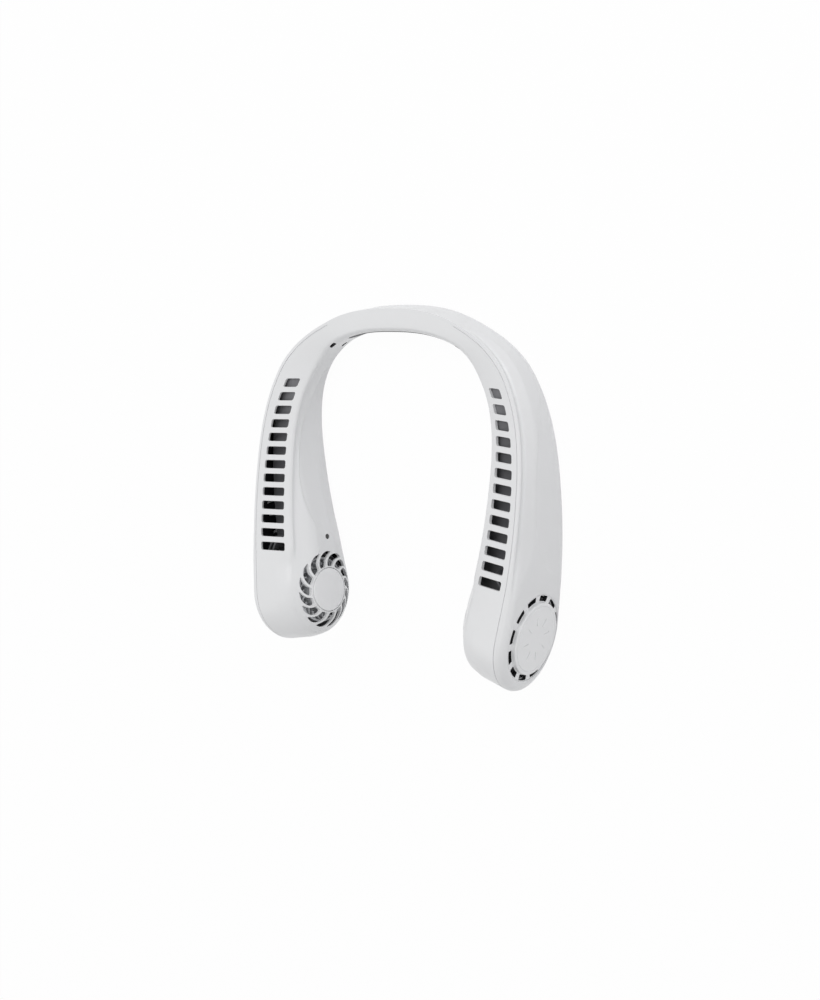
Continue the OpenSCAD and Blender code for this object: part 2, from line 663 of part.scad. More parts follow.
module stator() {
    difference() {
        union() {
            translate([0, 0, shoulder_h]) linear_extrude(core_h) {
                circle(core_r, $fn = round_fn);
                for (i = [0:pole_n - 1]) rotate([0, 0, turn_a * i / pole_n])
                    translate([0, -pole_w / 2]) square([pole_r - pole_tip_t / 2, pole_w]);
                difference() {
                    circle(pole_r, $fn = arc_fn);
                    circle(pole_r - pole_tip_t, $fn = arc_fn);
                    for (i = [0:pole_n - 1]) rotate([0, 0, turn_a * (i + 1 / 2) / pole_n])
                        translate([core_r, -pole_gap_w / 2]) square([pole_r, pole_gap_w]);
                }
            }
            for (i = [0:pole_n - 1]) rotate([0, 0, turn_a * i / pole_n])
                translate([coil_in_r, -coil_w / 2, shoulder_h - coil_over])
                    cube([coil_l, coil_w, core_h + 2 * coil_over]);
        }
        translate([0, 0, base_h]) cylinder(bearing_l + core_h, r = tube_r, $fn = round_fn);
    }
}
module right_stator() {
    color("peru") at_fan() stator();
}
module left_stator() {
    color("peru") left() at_fan() stator();
}
module rotor_can() {
    skirt_h = base_h + skirt_gap;
    difference() {
        union() {
            translate([0, 0, skirt_h]) cylinder(can_h - skirt_h, r = can_r, $fn = arc_fn);
            translate([0, 0, can_h]) cylinder(boss_h, r = can_boss_r, $fn = round_fn);
        }
        translate([0, 0, skirt_h - over])
            cylinder(can_h - can_t - skirt_h + over, r = can_r - can_t, $fn = arc_fn);
        translate([0, 0, skirt_h]) cylinder(2 * bearing_l, r = shaft_r, $fn = round_fn);
    }
}
module right_rotor_can() {
    color("lightgray") at_fan() rotor_can();
}
module left_rotor_can() {
    color("lightgray") left() at_fan() rotor_can();
}
module magnet_ring() {
    translate([0, 0, can_h - can_t - magnet_drop - magnet_h]) ring(can_r - can_t, magnet_in_r, magnet_h);
}
module right_magnet_ring() {
    color("dimgray") at_fan() magnet_ring();
}
module left_magnet_ring() {
    color("dimgray") left() at_fan() magnet_ring();
}
module shaft() {
    translate([0, 0, base_h + thrust_gap])
        cylinder(can_h + boss_h - base_h - thrust_gap, r = shaft_r, $fn = round_fn);
}
module right_shaft() {
    color("silver") at_fan() shaft();
}
module left_shaft() {
    color("silver") left() at_fan() shaft();
}

// Impeller: a cup over the rotor can, a web, and blades on both sides of the web
hub_r = 12.6;
web_t = 1.2;
impeller_low_h = grille_h + 7;
impeller_top_h = seam_n(fan_s) - 0.4;
band_h = 1;
band_w = 1.2;
blade_in_r = 15.5;
blade_t = 1;
blade_sweep_a = 16;
blade_steps = 4;
blade_out_r = impeller_r - band_w / 2;
function blade_point(i, side) = let (t = i / blade_steps, r = mix(blade_in_r, blade_out_r, t),
    a = blade_sweep_a * t * t, d = side * blade_t / 2) [r * cos(a) - d * sin(a), r * sin(a) + d * cos(a)];
module impeller() {
    blade = concat([for (i = [0:blade_steps]) blade_point(i, 1)],
        [for (i = [blade_steps:-1:0]) blade_point(i, -1)]);
    skirt_h = base_h + skirt_gap;
    difference() {
        union() {
            translate([0, 0, skirt_h]) cylinder(can_h + web_t - skirt_h, r = hub_r, $fn = arc_fn);
            translate([0, 0, can_h]) cylinder(web_t, r = impeller_r, $fn = arc_fn);
            translate([0, 0, impeller_low_h]) ring(impeller_r, impeller_r - band_w, band_h);
            translate([0, 0, impeller_top_h - band_h]) ring(impeller_r, impeller_r - band_w, band_h);
            translate([0, 0, impeller_low_h]) linear_extrude(impeller_top_h - impeller_low_h)
                for (i = [0:blade_n - 1]) rotate([0, 0, turn_a * i / blade_n]) polygon(blade);
        }
        translate([0, 0, skirt_h - over]) cylinder(can_h - skirt_h + over, r = can_r, $fn = arc_fn);
        translate([0, 0, can_h - over]) cylinder(web_t + 2 * over, r = can_boss_r, $fn = round_fn);
    }
}
module right_impeller() {
    color("slategray") at_fan() impeller();
}
module left_impeller() {
    color("slategray") left() at_fan() impeller();
}

// Air guide: scroll wall round the impeller, floor of the duct under the slots, two ribs at its mouth
scroll_start_a = 105;
scroll_end_a = -165;
scroll_steps = 14;
scroll_in_r = 21.9;
scroll_out_r = 25.3;
scroll_t = 1.2;
scroll_low_h = -12.5;
floor_steps = 6;
floor_front_s = fan_s - 21.6;
floor_back_s = slot_first - 6;
floor_back_drop = 4.5;
floor_front_z = fan_z + 4.4;
floor_gap = 0.2;
rib_t = 1.1;
rib_l = 11;
rib_h = 13;
rib_a = 38;
rib_x_table = [2.6, 6.2];
rib_floor = 1;
sliver = 0.05;
function floor_z(s) = mix(top_z(floor_back_s) - floor_back_drop, floor_front_z,
    (s - floor_back_s) / (floor_front_s - floor_back_s));
module floor_slice(s) {
    at_arm(s, floor_z(s)) translate([2 * neck_n(s), -sliver / 2, 0])
        cube([seam_n(s) - floor_gap - 2 * neck_n(s), sliver, scroll_t]);
}
module air_guide() {
    scroll = [for (i = [0:scroll_steps]) let (t = i / scroll_steps) [mix(scroll_in_r, scroll_out_r, t),
        mix(scroll_start_a, scroll_end_a, t)]];
    pts = concat([for (p = scroll) p[0] * [cos(p[1]), sin(p[1])]],
        [for (i = [scroll_steps:-1:0]) (scroll[i][0] + scroll_t) * [cos(scroll[i][1]), sin(scroll[i][1])]]);
    intersection() {
        hollow(hollow_arm_pairs);
        union() {
            at_fan() translate([0, 0, scroll_low_h]) linear_extrude(seam_n(fan_s) - scroll_low_h) polygon(pts);
            for (i = [0:floor_steps - 1]) hull() for (j = [0, 1])
                floor_slice(mix(floor_back_s, floor_front_s, (i + j) / floor_steps));
            for (x = rib_x_table) at_arm(slot_last, floor_z(slot_last) + rib_floor / 2)
                translate([x, 0, 0]) rotate([0, 0, rib_a]) translate([-rib_t / 2, -rib_l / 2, 0])
                    cube([rib_t, rib_l, rib_h]);
        }
    }
}
module right_air_guide() {
    color("gainsboro") air_guide();
}
module left_air_guide() {
    color("gainsboro") left() air_guide();
}

// Batteries, board, socket, switch, button and lens
cell_cap_r = 2.6;
cell_cap_h = 0.8;
module cell() {
    at_arm(cell_s, cell_z) rotate([-right_a, 0, 0]) {
        translate([0, 0, -cell_l / 2]) cylinder(cell_l, r = cell_r, $fn = arc_fn);
        translate([0, 0, -cell_l / 2 - cell_cap_h]) cylinder(cell_cap_h + over, r = cell_cap_r, $fn = round_fn);
    }
}
module right_cell() {
    color("steelblue") cell();
}
module left_cell() {
    color("steelblue") left() cell();
}
chip = [5, 6, 1.2];
chip_y = -4;
inductor_r = 2.4;
inductor_h = 2;
module main_board() {
    color("seagreen") left() at_arm(board_s, board_z) {
        difference() {
            translate([-board_w / 2, -board_l / 2, 0]) cube([board_w, board_l, board_t]);
            for (x = [-boss_x, boss_x]) translate([x, 0, -over])
                cylinder(board_t + 2 * over, r = board_screw_r + lens_gap, $fn = round_fn);
        }
        translate([-chip.x / 2, chip_y - chip.y, board_t]) cube(chip);
        translate([0, usb_y, board_t]) cylinder(inductor_h, r = inductor_r, $fn = round_fn);
    }
}
tongue = [0.7, 6.7, 4.4];
usb_mouth = 5;
module usb_socket() {
    color("silver") left() at_arm(board_s, 0) translate([0, usb_y, 0]) {
        difference() {
            translate([0, 0, usb_recess]) linear_extrude(board_z - usb_recess) stadium(usb_l, usb_w);
            translate([0, 0, usb_recess - over]) linear_extrude(usb_mouth + over)
                stadium(usb_l - 2 * usb_shell_t, usb_w - 2 * usb_shell_t);
        }
        translate([-tongue.x / 2, -tongue.y / 2, usb_mouth + usb_recess - tongue.z]) cube(tongue);
    }
}
switch_w = 6;
switch_h = 2.6;
stem_r = 1.6;
stem_hole_l = 1.8;
stem_top_gap = 0.1;
flange_z = wall + flange_gap;
flange_top_z = flange_z + flange_t;
module power_switch() {
    color("black") left() at_arm(board_s, board_z - switch_h) translate([0, button_y, 0]) difference() {
        translate([-switch_w / 2, -switch_w / 2, 0]) cube([switch_w, switch_w, switch_h]);
        translate([0, 0, -over]) cylinder(stem_hole_l + over, r = stem_r + button_gap, $fn = round_fn);
    }
}
module switch_stem() {
    color("black") left() at_arm(board_s, flange_top_z) translate([0, button_y, 0])
        cylinder(board_z - switch_h + stem_hole_l - button_travel - stem_top_gap - flange_top_z,
            r = stem_r, $fn = round_fn);
}
module power_button() {
    color("whitesmoke") left() at_arm(board_s, 0) translate([0, button_y, 0]) {
        translate([0, 0, button_recess]) cylinder(flange_top_z - button_recess, r = button_r, $fn = arc_fn);
        translate([0, 0, flange_z]) cylinder(flange_t, r = button_r + flange_over, $fn = arc_fn);
    }
}
module status_lens() {
    color("black") left() at_arm(lens_s, lens_z) translate([lens_n, 0, 0]) rotate([0, right_a, 0]) {
        translate([0, 0, lens_recess]) cylinder(wall + lens_flange_t, r = lens_r - lens_gap, $fn = round_fn);
        translate([0, 0, wall + lens_flange_gap]) cylinder(lens_flange_t, r = lens_flange_r, $fn = round_fn);
    }
}

// Wire harness: a cable from the board through the band to the right cell, and a short one to the left
wire_r = 1.2;
wire_sides = 6;
wire_steps = 16;
wire_lead = 6;
board_mid_z = board_z + board_t / 2;
function spot(s, y) = let (a = heading(s)) place(s, 0) + y * [-sin(a), cos(a)];
function wire_at(s, y, z, side) = let (q = spot(s, y), a = heading(s))
    [side * q.x, q.y, z, side > 0 ? a : 2 * right_a - a];
wire_from = board_s - board_l / 2 - wire_lead;
wire_to = cell_s - cell_l / 2 - wire_lead;
long_wire = concat([wire_at(board_s, board_l / 2, board_mid_z, -1)],
    [for (i = [0:wire_steps]) let (t = i / wire_steps, s = mix(-wire_from, wire_to, t))
        wire_at(abs(s), 0, mix(board_mid_z, cell_z, smooth(t)), sgn(s))],
    [wire_at(cell_s, cell_l / 2, cell_z, 1)]);
short_wire = [wire_at(cell_s, cell_l / 2, cell_z, -1), wire_at(board_s, -board_l / 2, board_mid_z, -1)];
module wire(stations) {
    m = len(stations);
    pts = [for (w = stations) for (i = [0:wire_sides - 1]) let (a = turn_a * i / wire_sides)
        [w.x + wire_r * cos(a) * cos(w[3]), w.y + wire_r * cos(a) * sin(w[3]), w.z + wire_r * sin(a)]];
    sides = [for (k = [0:m - 2]) for (i = [0:wire_sides - 1]) let (a = k * wire_sides + i,
        b = k * wire_sides + (i + 1) % wire_sides)
        each [[a, b, a + wire_sides], [b, b + wire_sides, a + wire_sides]]];
    ends = [[for (i = [wire_sides - 1:-1:0]) i], [for (i = [0:wire_sides - 1]) (m - 1) * wire_sides + i]];
    polyhedron(pts, concat(sides, ends), convexity = 10);
}
module wire_harness() {
    color("black") wire(long_wire);
    color("black") wire(short_wire);
}
module motor_screw_set() {
    for (i = [0:motor_screw_n - 1]) rotate([0, 0, turn_a * i / motor_screw_n])
        translate([motor_screw_pcd_r, 0, pocket_h]) {
            translate([0, 0, -screw_head_h]) cylinder(screw_head_h, r = screw_head_r, $fn = round_fn);
            cylinder(pad_t + base_t, r = motor_screw_r, $fn = round_fn);
        }
}
module motor_screws() {
    color("silver") at_fan() motor_screw_set();
    color("silver") left() at_fan() motor_screw_set();
}
board_screw_head_r = 1.6;
board_screw_head_h = 0.9;
board_screw_l = 3.6;
module board_screws() {
    color("silver") left() at_arm(board_s, board_z + board_t) for (x = [-boss_x, boss_x])
        translate([x, 0, 0]) {
            translate([0, 0, -board_screw_l]) cylinder(board_screw_l, r = board_screw_r, $fn = round_fn);
            cylinder(board_screw_head_h, r = board_screw_head_r, $fn = round_fn);
        }
}

neck_frame();
right_cover();
left_cover();
right_cap();
left_cap();
right_grille_disc();
left_grille_disc();
right_impeller();
left_impeller();
right_rotor_can();
left_rotor_can();
right_magnet_ring();
left_magnet_ring();
right_shaft();
left_shaft();
right_bearing();
left_bearing();
right_stator();
left_stator();
right_motor_base();
left_motor_base();
right_air_guide();
left_air_guide();
right_cell();
left_cell();
main_board();
usb_socket();
power_switch();
switch_stem();
power_button();
status_lens();
wire_harness();
motor_screws();
board_screws();
neck_pad();
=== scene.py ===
# %% [markdown]
# # Electric neck fan
# The fan is a U that lies on the shoulders: a band behind the neck and two arms, each with a row of
# air slots on top and a round blower head at its end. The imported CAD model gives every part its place.
# This script gives the visible shells a finer skin, dresses each part in a material, and lights it.

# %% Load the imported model
import math

import bmesh
import bpy
import numpy as np
from mathutils import Matrix, Vector
from mathutils.bvhtree import BVHTree


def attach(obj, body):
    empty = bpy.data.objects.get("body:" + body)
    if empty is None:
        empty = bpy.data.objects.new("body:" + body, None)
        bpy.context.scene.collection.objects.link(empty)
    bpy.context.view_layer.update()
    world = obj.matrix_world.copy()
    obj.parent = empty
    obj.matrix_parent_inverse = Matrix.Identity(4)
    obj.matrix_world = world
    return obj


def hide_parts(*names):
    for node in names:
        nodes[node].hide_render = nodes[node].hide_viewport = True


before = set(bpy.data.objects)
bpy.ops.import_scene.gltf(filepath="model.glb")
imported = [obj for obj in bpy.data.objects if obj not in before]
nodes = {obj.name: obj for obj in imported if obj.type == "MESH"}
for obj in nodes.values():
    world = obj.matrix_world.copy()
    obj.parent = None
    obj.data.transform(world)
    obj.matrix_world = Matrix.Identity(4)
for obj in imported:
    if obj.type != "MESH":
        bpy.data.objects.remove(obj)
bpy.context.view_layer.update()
MM = 0.001

# %% [markdown]
# ## The path of the neck
# The slot row follows a rounded back and two arms that turn slightly inwards. As in the CAD source, the
# back is a quarter of a superellipse and the arm is a wide arc that runs out into a straight line. The
# points are joined by a smooth curve, so that the finer skin has no corners along the path.

# %% Path of the slot row, in millimetres
HALF_W = 85.8
REAR_REACH = 91.4
SQUARENESS = 2.55
TOE_R = 340
TOE_A = 8.2
ARM_L = 80.6
HEAD_R = 30.2
FAN_DROP = 1.4
BACK_H = 16.6
REAR_STEPS = 24
TOE_STEPS = 6
HEAD_RUN = 3 * HEAD_R


def sin(a):
    return math.sin(math.radians(a))


def cos(a):
    return math.cos(math.radians(a))


def tan(a):
    return math.tan(math.radians(a))


print("sine and cosine of the toe-in:", round(sin(TOE_A), 3), round(cos(TOE_A), 3))

# %% Points of the path: a quarter of a superellipse, a wide arc and a straight line
def path_points():
    rear = [(HALF_W * abs(sin(90 * i / REAR_STEPS)) ** (2 / SQUARENESS),
             REAR_REACH * abs(cos(90 * i / REAR_STEPS)) ** (2 / SQUARENESS)) for i in range(REAR_STEPS + 1)]
    toe = [(HALF_W - TOE_R * (1 - cos(TOE_A * i / TOE_STEPS)), -TOE_R * sin(TOE_A * i / TOE_STEPS))
           for i in range(1, TOE_STEPS + 1)]
    end = (toe[-1][0] - HEAD_RUN * sin(TOE_A), toe[-1][1] - HEAD_RUN * cos(TOE_A))
    return np.array(rear + toe + [end])


plan = path_points()
runs = np.concatenate([[0], np.cumsum(np.linalg.norm(np.diff(plan, axis=0), axis=1))])
steps = np.diff(plan, axis=0)
heading_at = np.concatenate([[0], (runs[1:] + runs[:-1]) / 2])
heading_of = np.concatenate([[90], np.degrees(np.arctan2(steps[:, 0], -steps[:, 1]))])
FAN_S = runs[REAR_STEPS] + ARM_L
print("path points:", len(plan))


# %% Heading and place at any length along the path
def heading(s):
    return float(np.interp(abs(s), heading_at, heading_of))


def path_xy(s):
    # Cubic curve through the path points, with the slopes of the heading there
    t = abs(s)
    i = min(max(int(np.searchsorted(runs, t, side="right")) - 1, 0), len(runs) - 2)
    length = runs[i + 1] - runs[i]
    u = (t - runs[i]) / length
    if i == len(runs) - 2:
        return plan[i] + u * steps[i]
    a, b = heading(runs[i]), heading(runs[i + 1])
    m0 = np.array([sin(a), -cos(a)]) * length
    m1 = np.array([sin(b), -cos(b)]) * length
    return ((2 * u ** 3 - 3 * u ** 2 + 1) * plan[i] + (u ** 3 - 2 * u ** 2 + u) * m0
            + (3 * u ** 2 - 2 * u ** 3) * plan[i + 1] + (u ** 3 - u ** 2) * m1)


print("path length to the fan axis:", round(FAN_S, 2), "mm")

# %% [markdown]
# ## Widths and heights along the arm
# The slotted face widens with the slots towards the head, the top line rises to the round head, and the
# neck side swells to a shallow dome round the fan. Each of these is a small function of the path length.

# %% Sizes along the path
REACH = REAR_REACH + ARM_L
RISE = math.degrees(math.atan2(HEAD_R - BACK_H, REACH) + math.asin(HEAD_R / math.hypot(REACH, HEAD_R - BACK_H)))
TILT = 14.2
EDGE_R = 5
SEAM_MARGIN = 3.5
NECK_MARGIN = (3.4, 4.7)
BAND_T = 14
COVER_START = 46
RIM_W = 2
SWELL_H = 3.2
SWELL_HEAD_H = 4.1
BELLY_H = 7.4
WALL = 1.8
SLOT_N = 13
SLOT_PITCH = 8.3
SLOT_W = 5.2
SLOT_L = (12, 18)
SLOT_START = 34.5
WIDEN_START = 45
FAN_Y = float(path_xy(FAN_S)[1])
FAN_Z = HEAD_R - FAN_DROP
print("the top line rises by", round(RISE, 2), "degrees")


# %% Slots along the arm
def mix(a, b, t):
    return a + (b - a) * t


def smooth(t):
    u = min(1, max(0, t))
    return u * u * (3 - 2 * u)


SLOT_LAST = FAN_S - SLOT_START


def slot_s(i):
    # The slots are evenly spaced along the middle line of the U, not along the path
    y = np.interp(SLOT_LAST, runs, plan[:, 1]) + i * SLOT_PITCH
    return float(np.interp(y, plan[::-1, 1], runs[::-1]))


SLOT_FIRST = slot_s(SLOT_N - 1)
print("slots from", round(SLOT_FIRST, 1), "to", round(SLOT_LAST, 1), "mm along the path")


# %% Widths of the section on both sides of the path
def slot_length(s):
    return mix(*SLOT_L, min(1, max(0, (abs(s) - SLOT_FIRST) / (SLOT_LAST - SLOT_FIRST))))


def widen(s):
    return smooth((abs(s) - WIDEN_START) / (SLOT_FIRST - WIDEN_START))


def seam_n(s):
    return mix(BAND_T / 2 - RIM_W, slot_length(s) / 2 * cos(TILT) + SEAM_MARGIN, widen(s))


def neck_n(s):
    margin = np.interp(abs(s), (SLOT_FIRST, SLOT_LAST), NECK_MARGIN)
    return mix(-BAND_T / 2, -slot_length(s) / 2 * cos(TILT) - margin, widen(s))


def swell_at(s):
    return float(np.interp(abs(s), (SLOT_FIRST, SLOT_LAST, FAN_S - HEAD_R / 2),
                           (SWELL_H, (SWELL_H + SWELL_HEAD_H) / 2, SWELL_HEAD_H)))


print("width at the last slot:", round(seam_n(SLOT_LAST) - neck_n(SLOT_LAST), 1), "mm")

# %% The front of the heads, the top line and the tilt of the slotted face
TIP_T = 7 / 7.5
FRONT_Y = FAN_Y - HEAD_R * sin(90 * TIP_T) * cos(TOE_A) - (seam_n(FAN_S) + RIM_W) * sin(TOE_A)
SHIFT_Y = -(FRONT_Y + REAR_REACH + BAND_T / 2) / 2
TIP_S = FAN_S - HEAD_R * sin(RISE)
TILT_START, TILT_FULL, TIP_TILT = 25, 70, 0.6


def place(s, n):
    a = heading(s)
    x, y = path_xy(s)
    return math.copysign(1, s) * (x + n * cos(a)), y + n * sin(a) + SHIFT_Y


def top_z(s):
    return HEAD_R + HEAD_R / cos(RISE) - tan(RISE) * (path_xy(s)[1] - FAN_Y)


def tilt_share(s):
    full = smooth((abs(s) - TILT_START) / (TILT_FULL - TILT_START))
    return full * mix(1, TIP_TILT, smooth((abs(s) - SLOT_LAST) / (TIP_S - SLOT_LAST)))


print("front of the heads at y =", round(FRONT_Y + SHIFT_Y, 2))

# %% [markdown]
# ## Stations
# A shell is a sheet of cross-sections. At each station the section runs between a point on the top line
# and a point below it. In the arm the two stand over each other. Round the head they walk along the
# circle until they meet at its front, so the same sections close the head without a pole on its side.

# %% Stations from the back of the neck to the front of a head
STATION_PITCH = 1.6
TIP_STATIONS, TIP_PACKING = 34, 0.9
FRONT_MORE = 1.5
BEFORE_END = 0.01


def front_s(a):
    # The front half of the head is a little longer than round
    return FAN_S + HEAD_R * sin(a) + FRONT_MORE * max(0, sin(a)) ** 2


def arm_station(s):
    return dict(top=(s, top_z(s), 0, -1), low=(s, 0, 0, 1), tilt=(tilt_share(s), 0), share=(1, 0),
                half=top_z(s) / 2, closed=False, end=0)


def tip_station(t):
    a, b = mix(-RISE, 90, t), 90 * t
    return dict(top=(front_s(a), HEAD_R + HEAD_R * cos(a), -sin(a), -cos(a)),
                low=(front_s(b), HEAD_R - HEAD_R * cos(b), -sin(b), cos(b)),
                tilt=(TIP_TILT * max(0, cos(max(0, a) / 2)) ** 2, TIP_TILT * sin(b / 2) ** 2),
                share=(1, smooth(b / 90)), half=HEAD_R, closed=False, end=0)


def stations(start):
    count = int((TIP_S - start) / STATION_PITCH)
    arm = [arm_station(mix(start, TIP_S, i / count)) for i in range(count)]
    tip = [tip_station(math.sin(0.5 * math.pi * i / TIP_STATIONS) ** TIP_PACKING)
           for i in range(TIP_STATIONS + 1)]
    return arm + tip


def band_stations(end):
    count = int(end / STATION_PITCH)
    band = [arm_station(end * i / count) for i in range(count)] + [arm_station(end - BEFORE_END)]
    for station in band:
        station["closed"] = True
    return band


print("stations of an arm:", len(stations(WIDEN_START)))

# %% A point of a section
def layer_point(station, side, layer):
    # A layer is [n, inset] at the top, the same below, and its share of the tilt of the slotted face
    s, z, along, up = station["top"] if side == 0 else station["low"]
    w = station["share"][side]
    n, inset = mix(layer[2], layer[0], w), mix(layer[3], layer[1], w)
    tilt = station["tilt"][side] * max(0, seam_n(s) - n) * tan(TILT)
    d = inset + tilt * layer[4]
    x, y = place(s + d * along + station["end"], n)
    return Vector((x, y, z + d * up)) * MM


# %% [markdown]
# ## Cross-sections
# The neck side of the arm is flat with a rounded upper edge. Round the fan it swells to a dome. The
# cover has a rim along the seam, a shallow valley and a swell. A few points say each shape, and a smooth
# curve through them gives the section as many points as the light on a glossy shell needs. The mould
# also has soft steps: a crescent on the neck side, and a panel on the cover. Each is a line drawn along
# the arm, and the skin steps in below it, which costs no extra faces.

# %% A smooth curve through a few points
def curve_through(points, per_step, straight=()):
    pts = [np.array(p, float) for p in points]
    out = []
    for i in range(len(pts) - 1):
        p0 = pts[i - 1] if i > 0 else 2 * pts[0] - pts[1]
        p3 = pts[i + 2] if i + 2 < len(pts) else 2 * pts[-1] - pts[-2]
        for k in range(per_step):
            u = k / per_step
            if i in straight:
                out.append(mix(pts[i], pts[i + 1], u))
            else:
                out.append(0.5 * (2 * pts[i] + (pts[i + 1] - p0) * u
                                  + (2 * p0 - 5 * pts[i] + 4 * pts[i + 1] - p3) * u * u
                                  + (3 * pts[i] - p0 - 3 * pts[i + 1] + p3) * u ** 3))
    return out + [pts[-1]]


# %% Neck side of the frame: flat beside the slots, a dome round the fan
BELLY_START = SLOT_FIRST + 20
BELLY_FULL = FAN_S - 20
FLAT_SHARES = (0.84, 0.3, 0.14, 0.04)
DOME = ((1, 25.2), (1, 15.6), (0.62, 9.5), (0.33, 6))
DOME_EDGE = ((-0.8, 3.9), (0.7, 2.4), (2.7, 1.2), (6, 0))
ARM_EDGE = ((-0.8, 3.3), (-0.1, 1.8), (1, 0.6), (2.6, 0))
HEAD_EDGE = ((-0.8, 3.9), (1.1, 2.5), (4.4, 1.2), (11, 0))
PER_STEP = 8
ARM_EDGE_R, BAND_LOW_R = 1.8, 2
VALLEY_D, VALLEY_HALF = 1.1, 20
VALLEY_IN, VALLEY_OUT = (1, 3.2), (4.5, 6)
ARM_BLEND, HEAD_RIM_BLEND = (50, 30), 14


def dome_share(s):
    return smooth((abs(s) - BELLY_START) / (BELLY_FULL - BELLY_START))


print("the dome starts", round(BELLY_START, 1), "mm along the path")

# %% Relief lines: the skin steps in below a line that is given by its height along the arm
CRESCENT = ((70, 3), (80, 8.5), (90, 10.5), (100, 14), (113, 19), (134, 26), (150, 29.8), (165, 30.3),
            (180, 28.5), (192, 24))
CRESCENT_D, CRESCENT_W, CRESCENT_END = 1.1, 2.8, (196, 14)
PANEL = ((92, 0), (100, 7), (109, 14), (120, 20.5), (132, 24.6), (146, 28), (164, 29.8), (174, 28.4),
         (182, 24.5), (190, 16), (193, 8))
PANEL_D, PANEL_W, PANEL_END = 0.6, 2.2, (195, 6)
LINE_FADE = (1, 8)


def relief(s, z, line, depth, width, end):
    level = np.interp(abs(s), [p[0] for p in line], [p[1] for p in line])
    fade = smooth((end[0] - abs(s)) / end[1]) * smooth((abs(s) - line[0][0]) / end[1])
    return depth * smooth((level - z) / width + 0.5) * smooth((z - LINE_FADE[0]) / LINE_FADE[1]) * fade


def arm_share(s):
    return smooth((abs(s) - ARM_BLEND[0]) / ARM_BLEND[1])


def valley(s, d, half):
    # Right below the upper edge the wall steps back, and comes out again deeper down
    step_in = smooth((d - VALLEY_IN[0]) / VALLEY_IN[1])
    step_out = 1 - smooth((d - VALLEY_OUT[0]) / VALLEY_OUT[1])
    return VALLEY_D * arm_share(s) * min(1, half / VALLEY_HALF) * step_in * step_out


print("the crescent steps in by", CRESCENT_D, "mm, the panel by", PANEL_D, "mm, the valley by", VALLEY_D, "mm")

# %% Layers of the neck side
def flat_side(s, half, r):
    base = neck_n(s)
    wall = [(base, mix(r, half, f)) for f in FLAT_SHARES]
    return wall + [(base + r * (1 - cos(a)), r * (1 - sin(a))) for a in (0, 30, 60, 90)]


def neck_side(s, half):
    # Layers from the middle of the neck side to its rounded edges, at the top and below. The middle one
    # keeps its height in both shapes, so that the layers never cross where the arm is low
    base, u, arm = neck_n(s), dome_share(s), arm_share(s)
    head = smooth((abs(s) - SLOT_LAST) / HEAD_RIM_BLEND)
    top_flat = flat_side(s, half, mix(EDGE_R, ARM_EDGE_R, arm))
    low_flat = flat_side(s, half, mix(BAND_LOW_R, EDGE_R, arm))
    sides = []
    for flat, rim in ((top_flat, mix(np.array(ARM_EDGE), np.array(HEAD_EDGE), head)), (low_flat, DOME_EDGE)):
        round_ = [(base - b * BELLY_H, d) for b, d in DOME] + [(base + n, d) for n, d in rim]
        round_[0] = (round_[0][0], flat[0][1])
        pair = zip(curve_through(flat, PER_STEP), curve_through(round_, PER_STEP, straight=(0,)))
        sides.append([mix(f, r, u) for f, r in pair])
    shares = [1 - FLAT_SHARES[0]] + [mix(1 - f, 1, u) for f in FLAT_SHARES[1:]] + [1]
    layers = []
    for k, ((n, d), (low_n, low_d)) in enumerate(zip(*sides)):
        share = np.interp(k / PER_STEP, range(5), shares)
        z = top_z(s) - d - tilt_share(s) * max(0, seam_n(s) - n) * tan(TILT) * share
        step = relief(s, z, CRESCENT, CRESCENT_D, CRESCENT_W, CRESCENT_END)
        low_step = relief(s, low_d, CRESCENT, CRESCENT_D, CRESCENT_W, CRESCENT_END)
        layers.append([n + max(step, valley(s, d, half)), d, low_n + low_step, low_d, share])
    return layers


# %% Side of a cover: rim, valley and swell on the arm, a soft shoulder round the head
TOP_SHARES = ((0.2, 0.14), (0.55, 0.36), (0.95, 0.65), (1, 0.85))
LOW_SHARES = ((0.7, 0.16), (0.9, 0.3), (1, 0.5), (1, 0.8))
HEAD_SHARES = ((0.85, 0.11), (0.97, 0.165), (1, 0.27), (1, 0.8))
HEAD_BLEND = (60, 34)


def cover_side(s, half):
    g, e = widen(s), seam_n(s) + RIM_W
    h = swell_at(s) * g
    t = smooth((abs(s) - FAN_S + HEAD_BLEND[0]) / HEAD_BLEND[1])
    arm = [(e, 0, e, 0), (e + 0.1 * h, 1, e + 0.3 * h, 0.6), (e - 0.6 * g, 3, e + 0.5 * h, 1.2)]
    head = [(e, 0, e, 0), (e + 0.35 * h, 0.6, e + 0.35 * h, 0.6), (e + 0.62 * h, 1.7, e + 0.62 * h, 1.7)]
    for top, low, round_ in zip(TOP_SHARES, LOW_SHARES, HEAD_SHARES):
        arm.append((e + h * top[0], mix(3, half, top[1]), e + h * low[0], mix(1.2, half, low[1])))
        head.append((e + h * round_[0], half * round_[1]) * 2)
    curve = curve_through([mix(np.array(a), np.array(b), t) for a, b in zip(arm, head)], PER_STEP)
    for c in curve:
        c[0] -= relief(s, top_z(s) - c[1], PANEL, PANEL_D, PANEL_W, PANEL_END)
        c[2] -= relief(s, c[3], PANEL, PANEL_D, PANEL_W, PANEL_END)
    return [[seam_n(s), 0, seam_n(s), 0, 0]] + [[*c, 0] for c in curve]


print("layers of the neck side:", len(neck_side(100, 30)), "of a cover:", len(cover_side(100, 30)))

# %% [markdown]
# ## Making a shell
# Each section becomes one closed ring. A grid from bmesh has the right number of rows and columns, so
# its vertices are moved onto the sections and its seam is welded. Mirror makes the second arm.

# %% Build a closed skin from rings
WELD = 1e-6


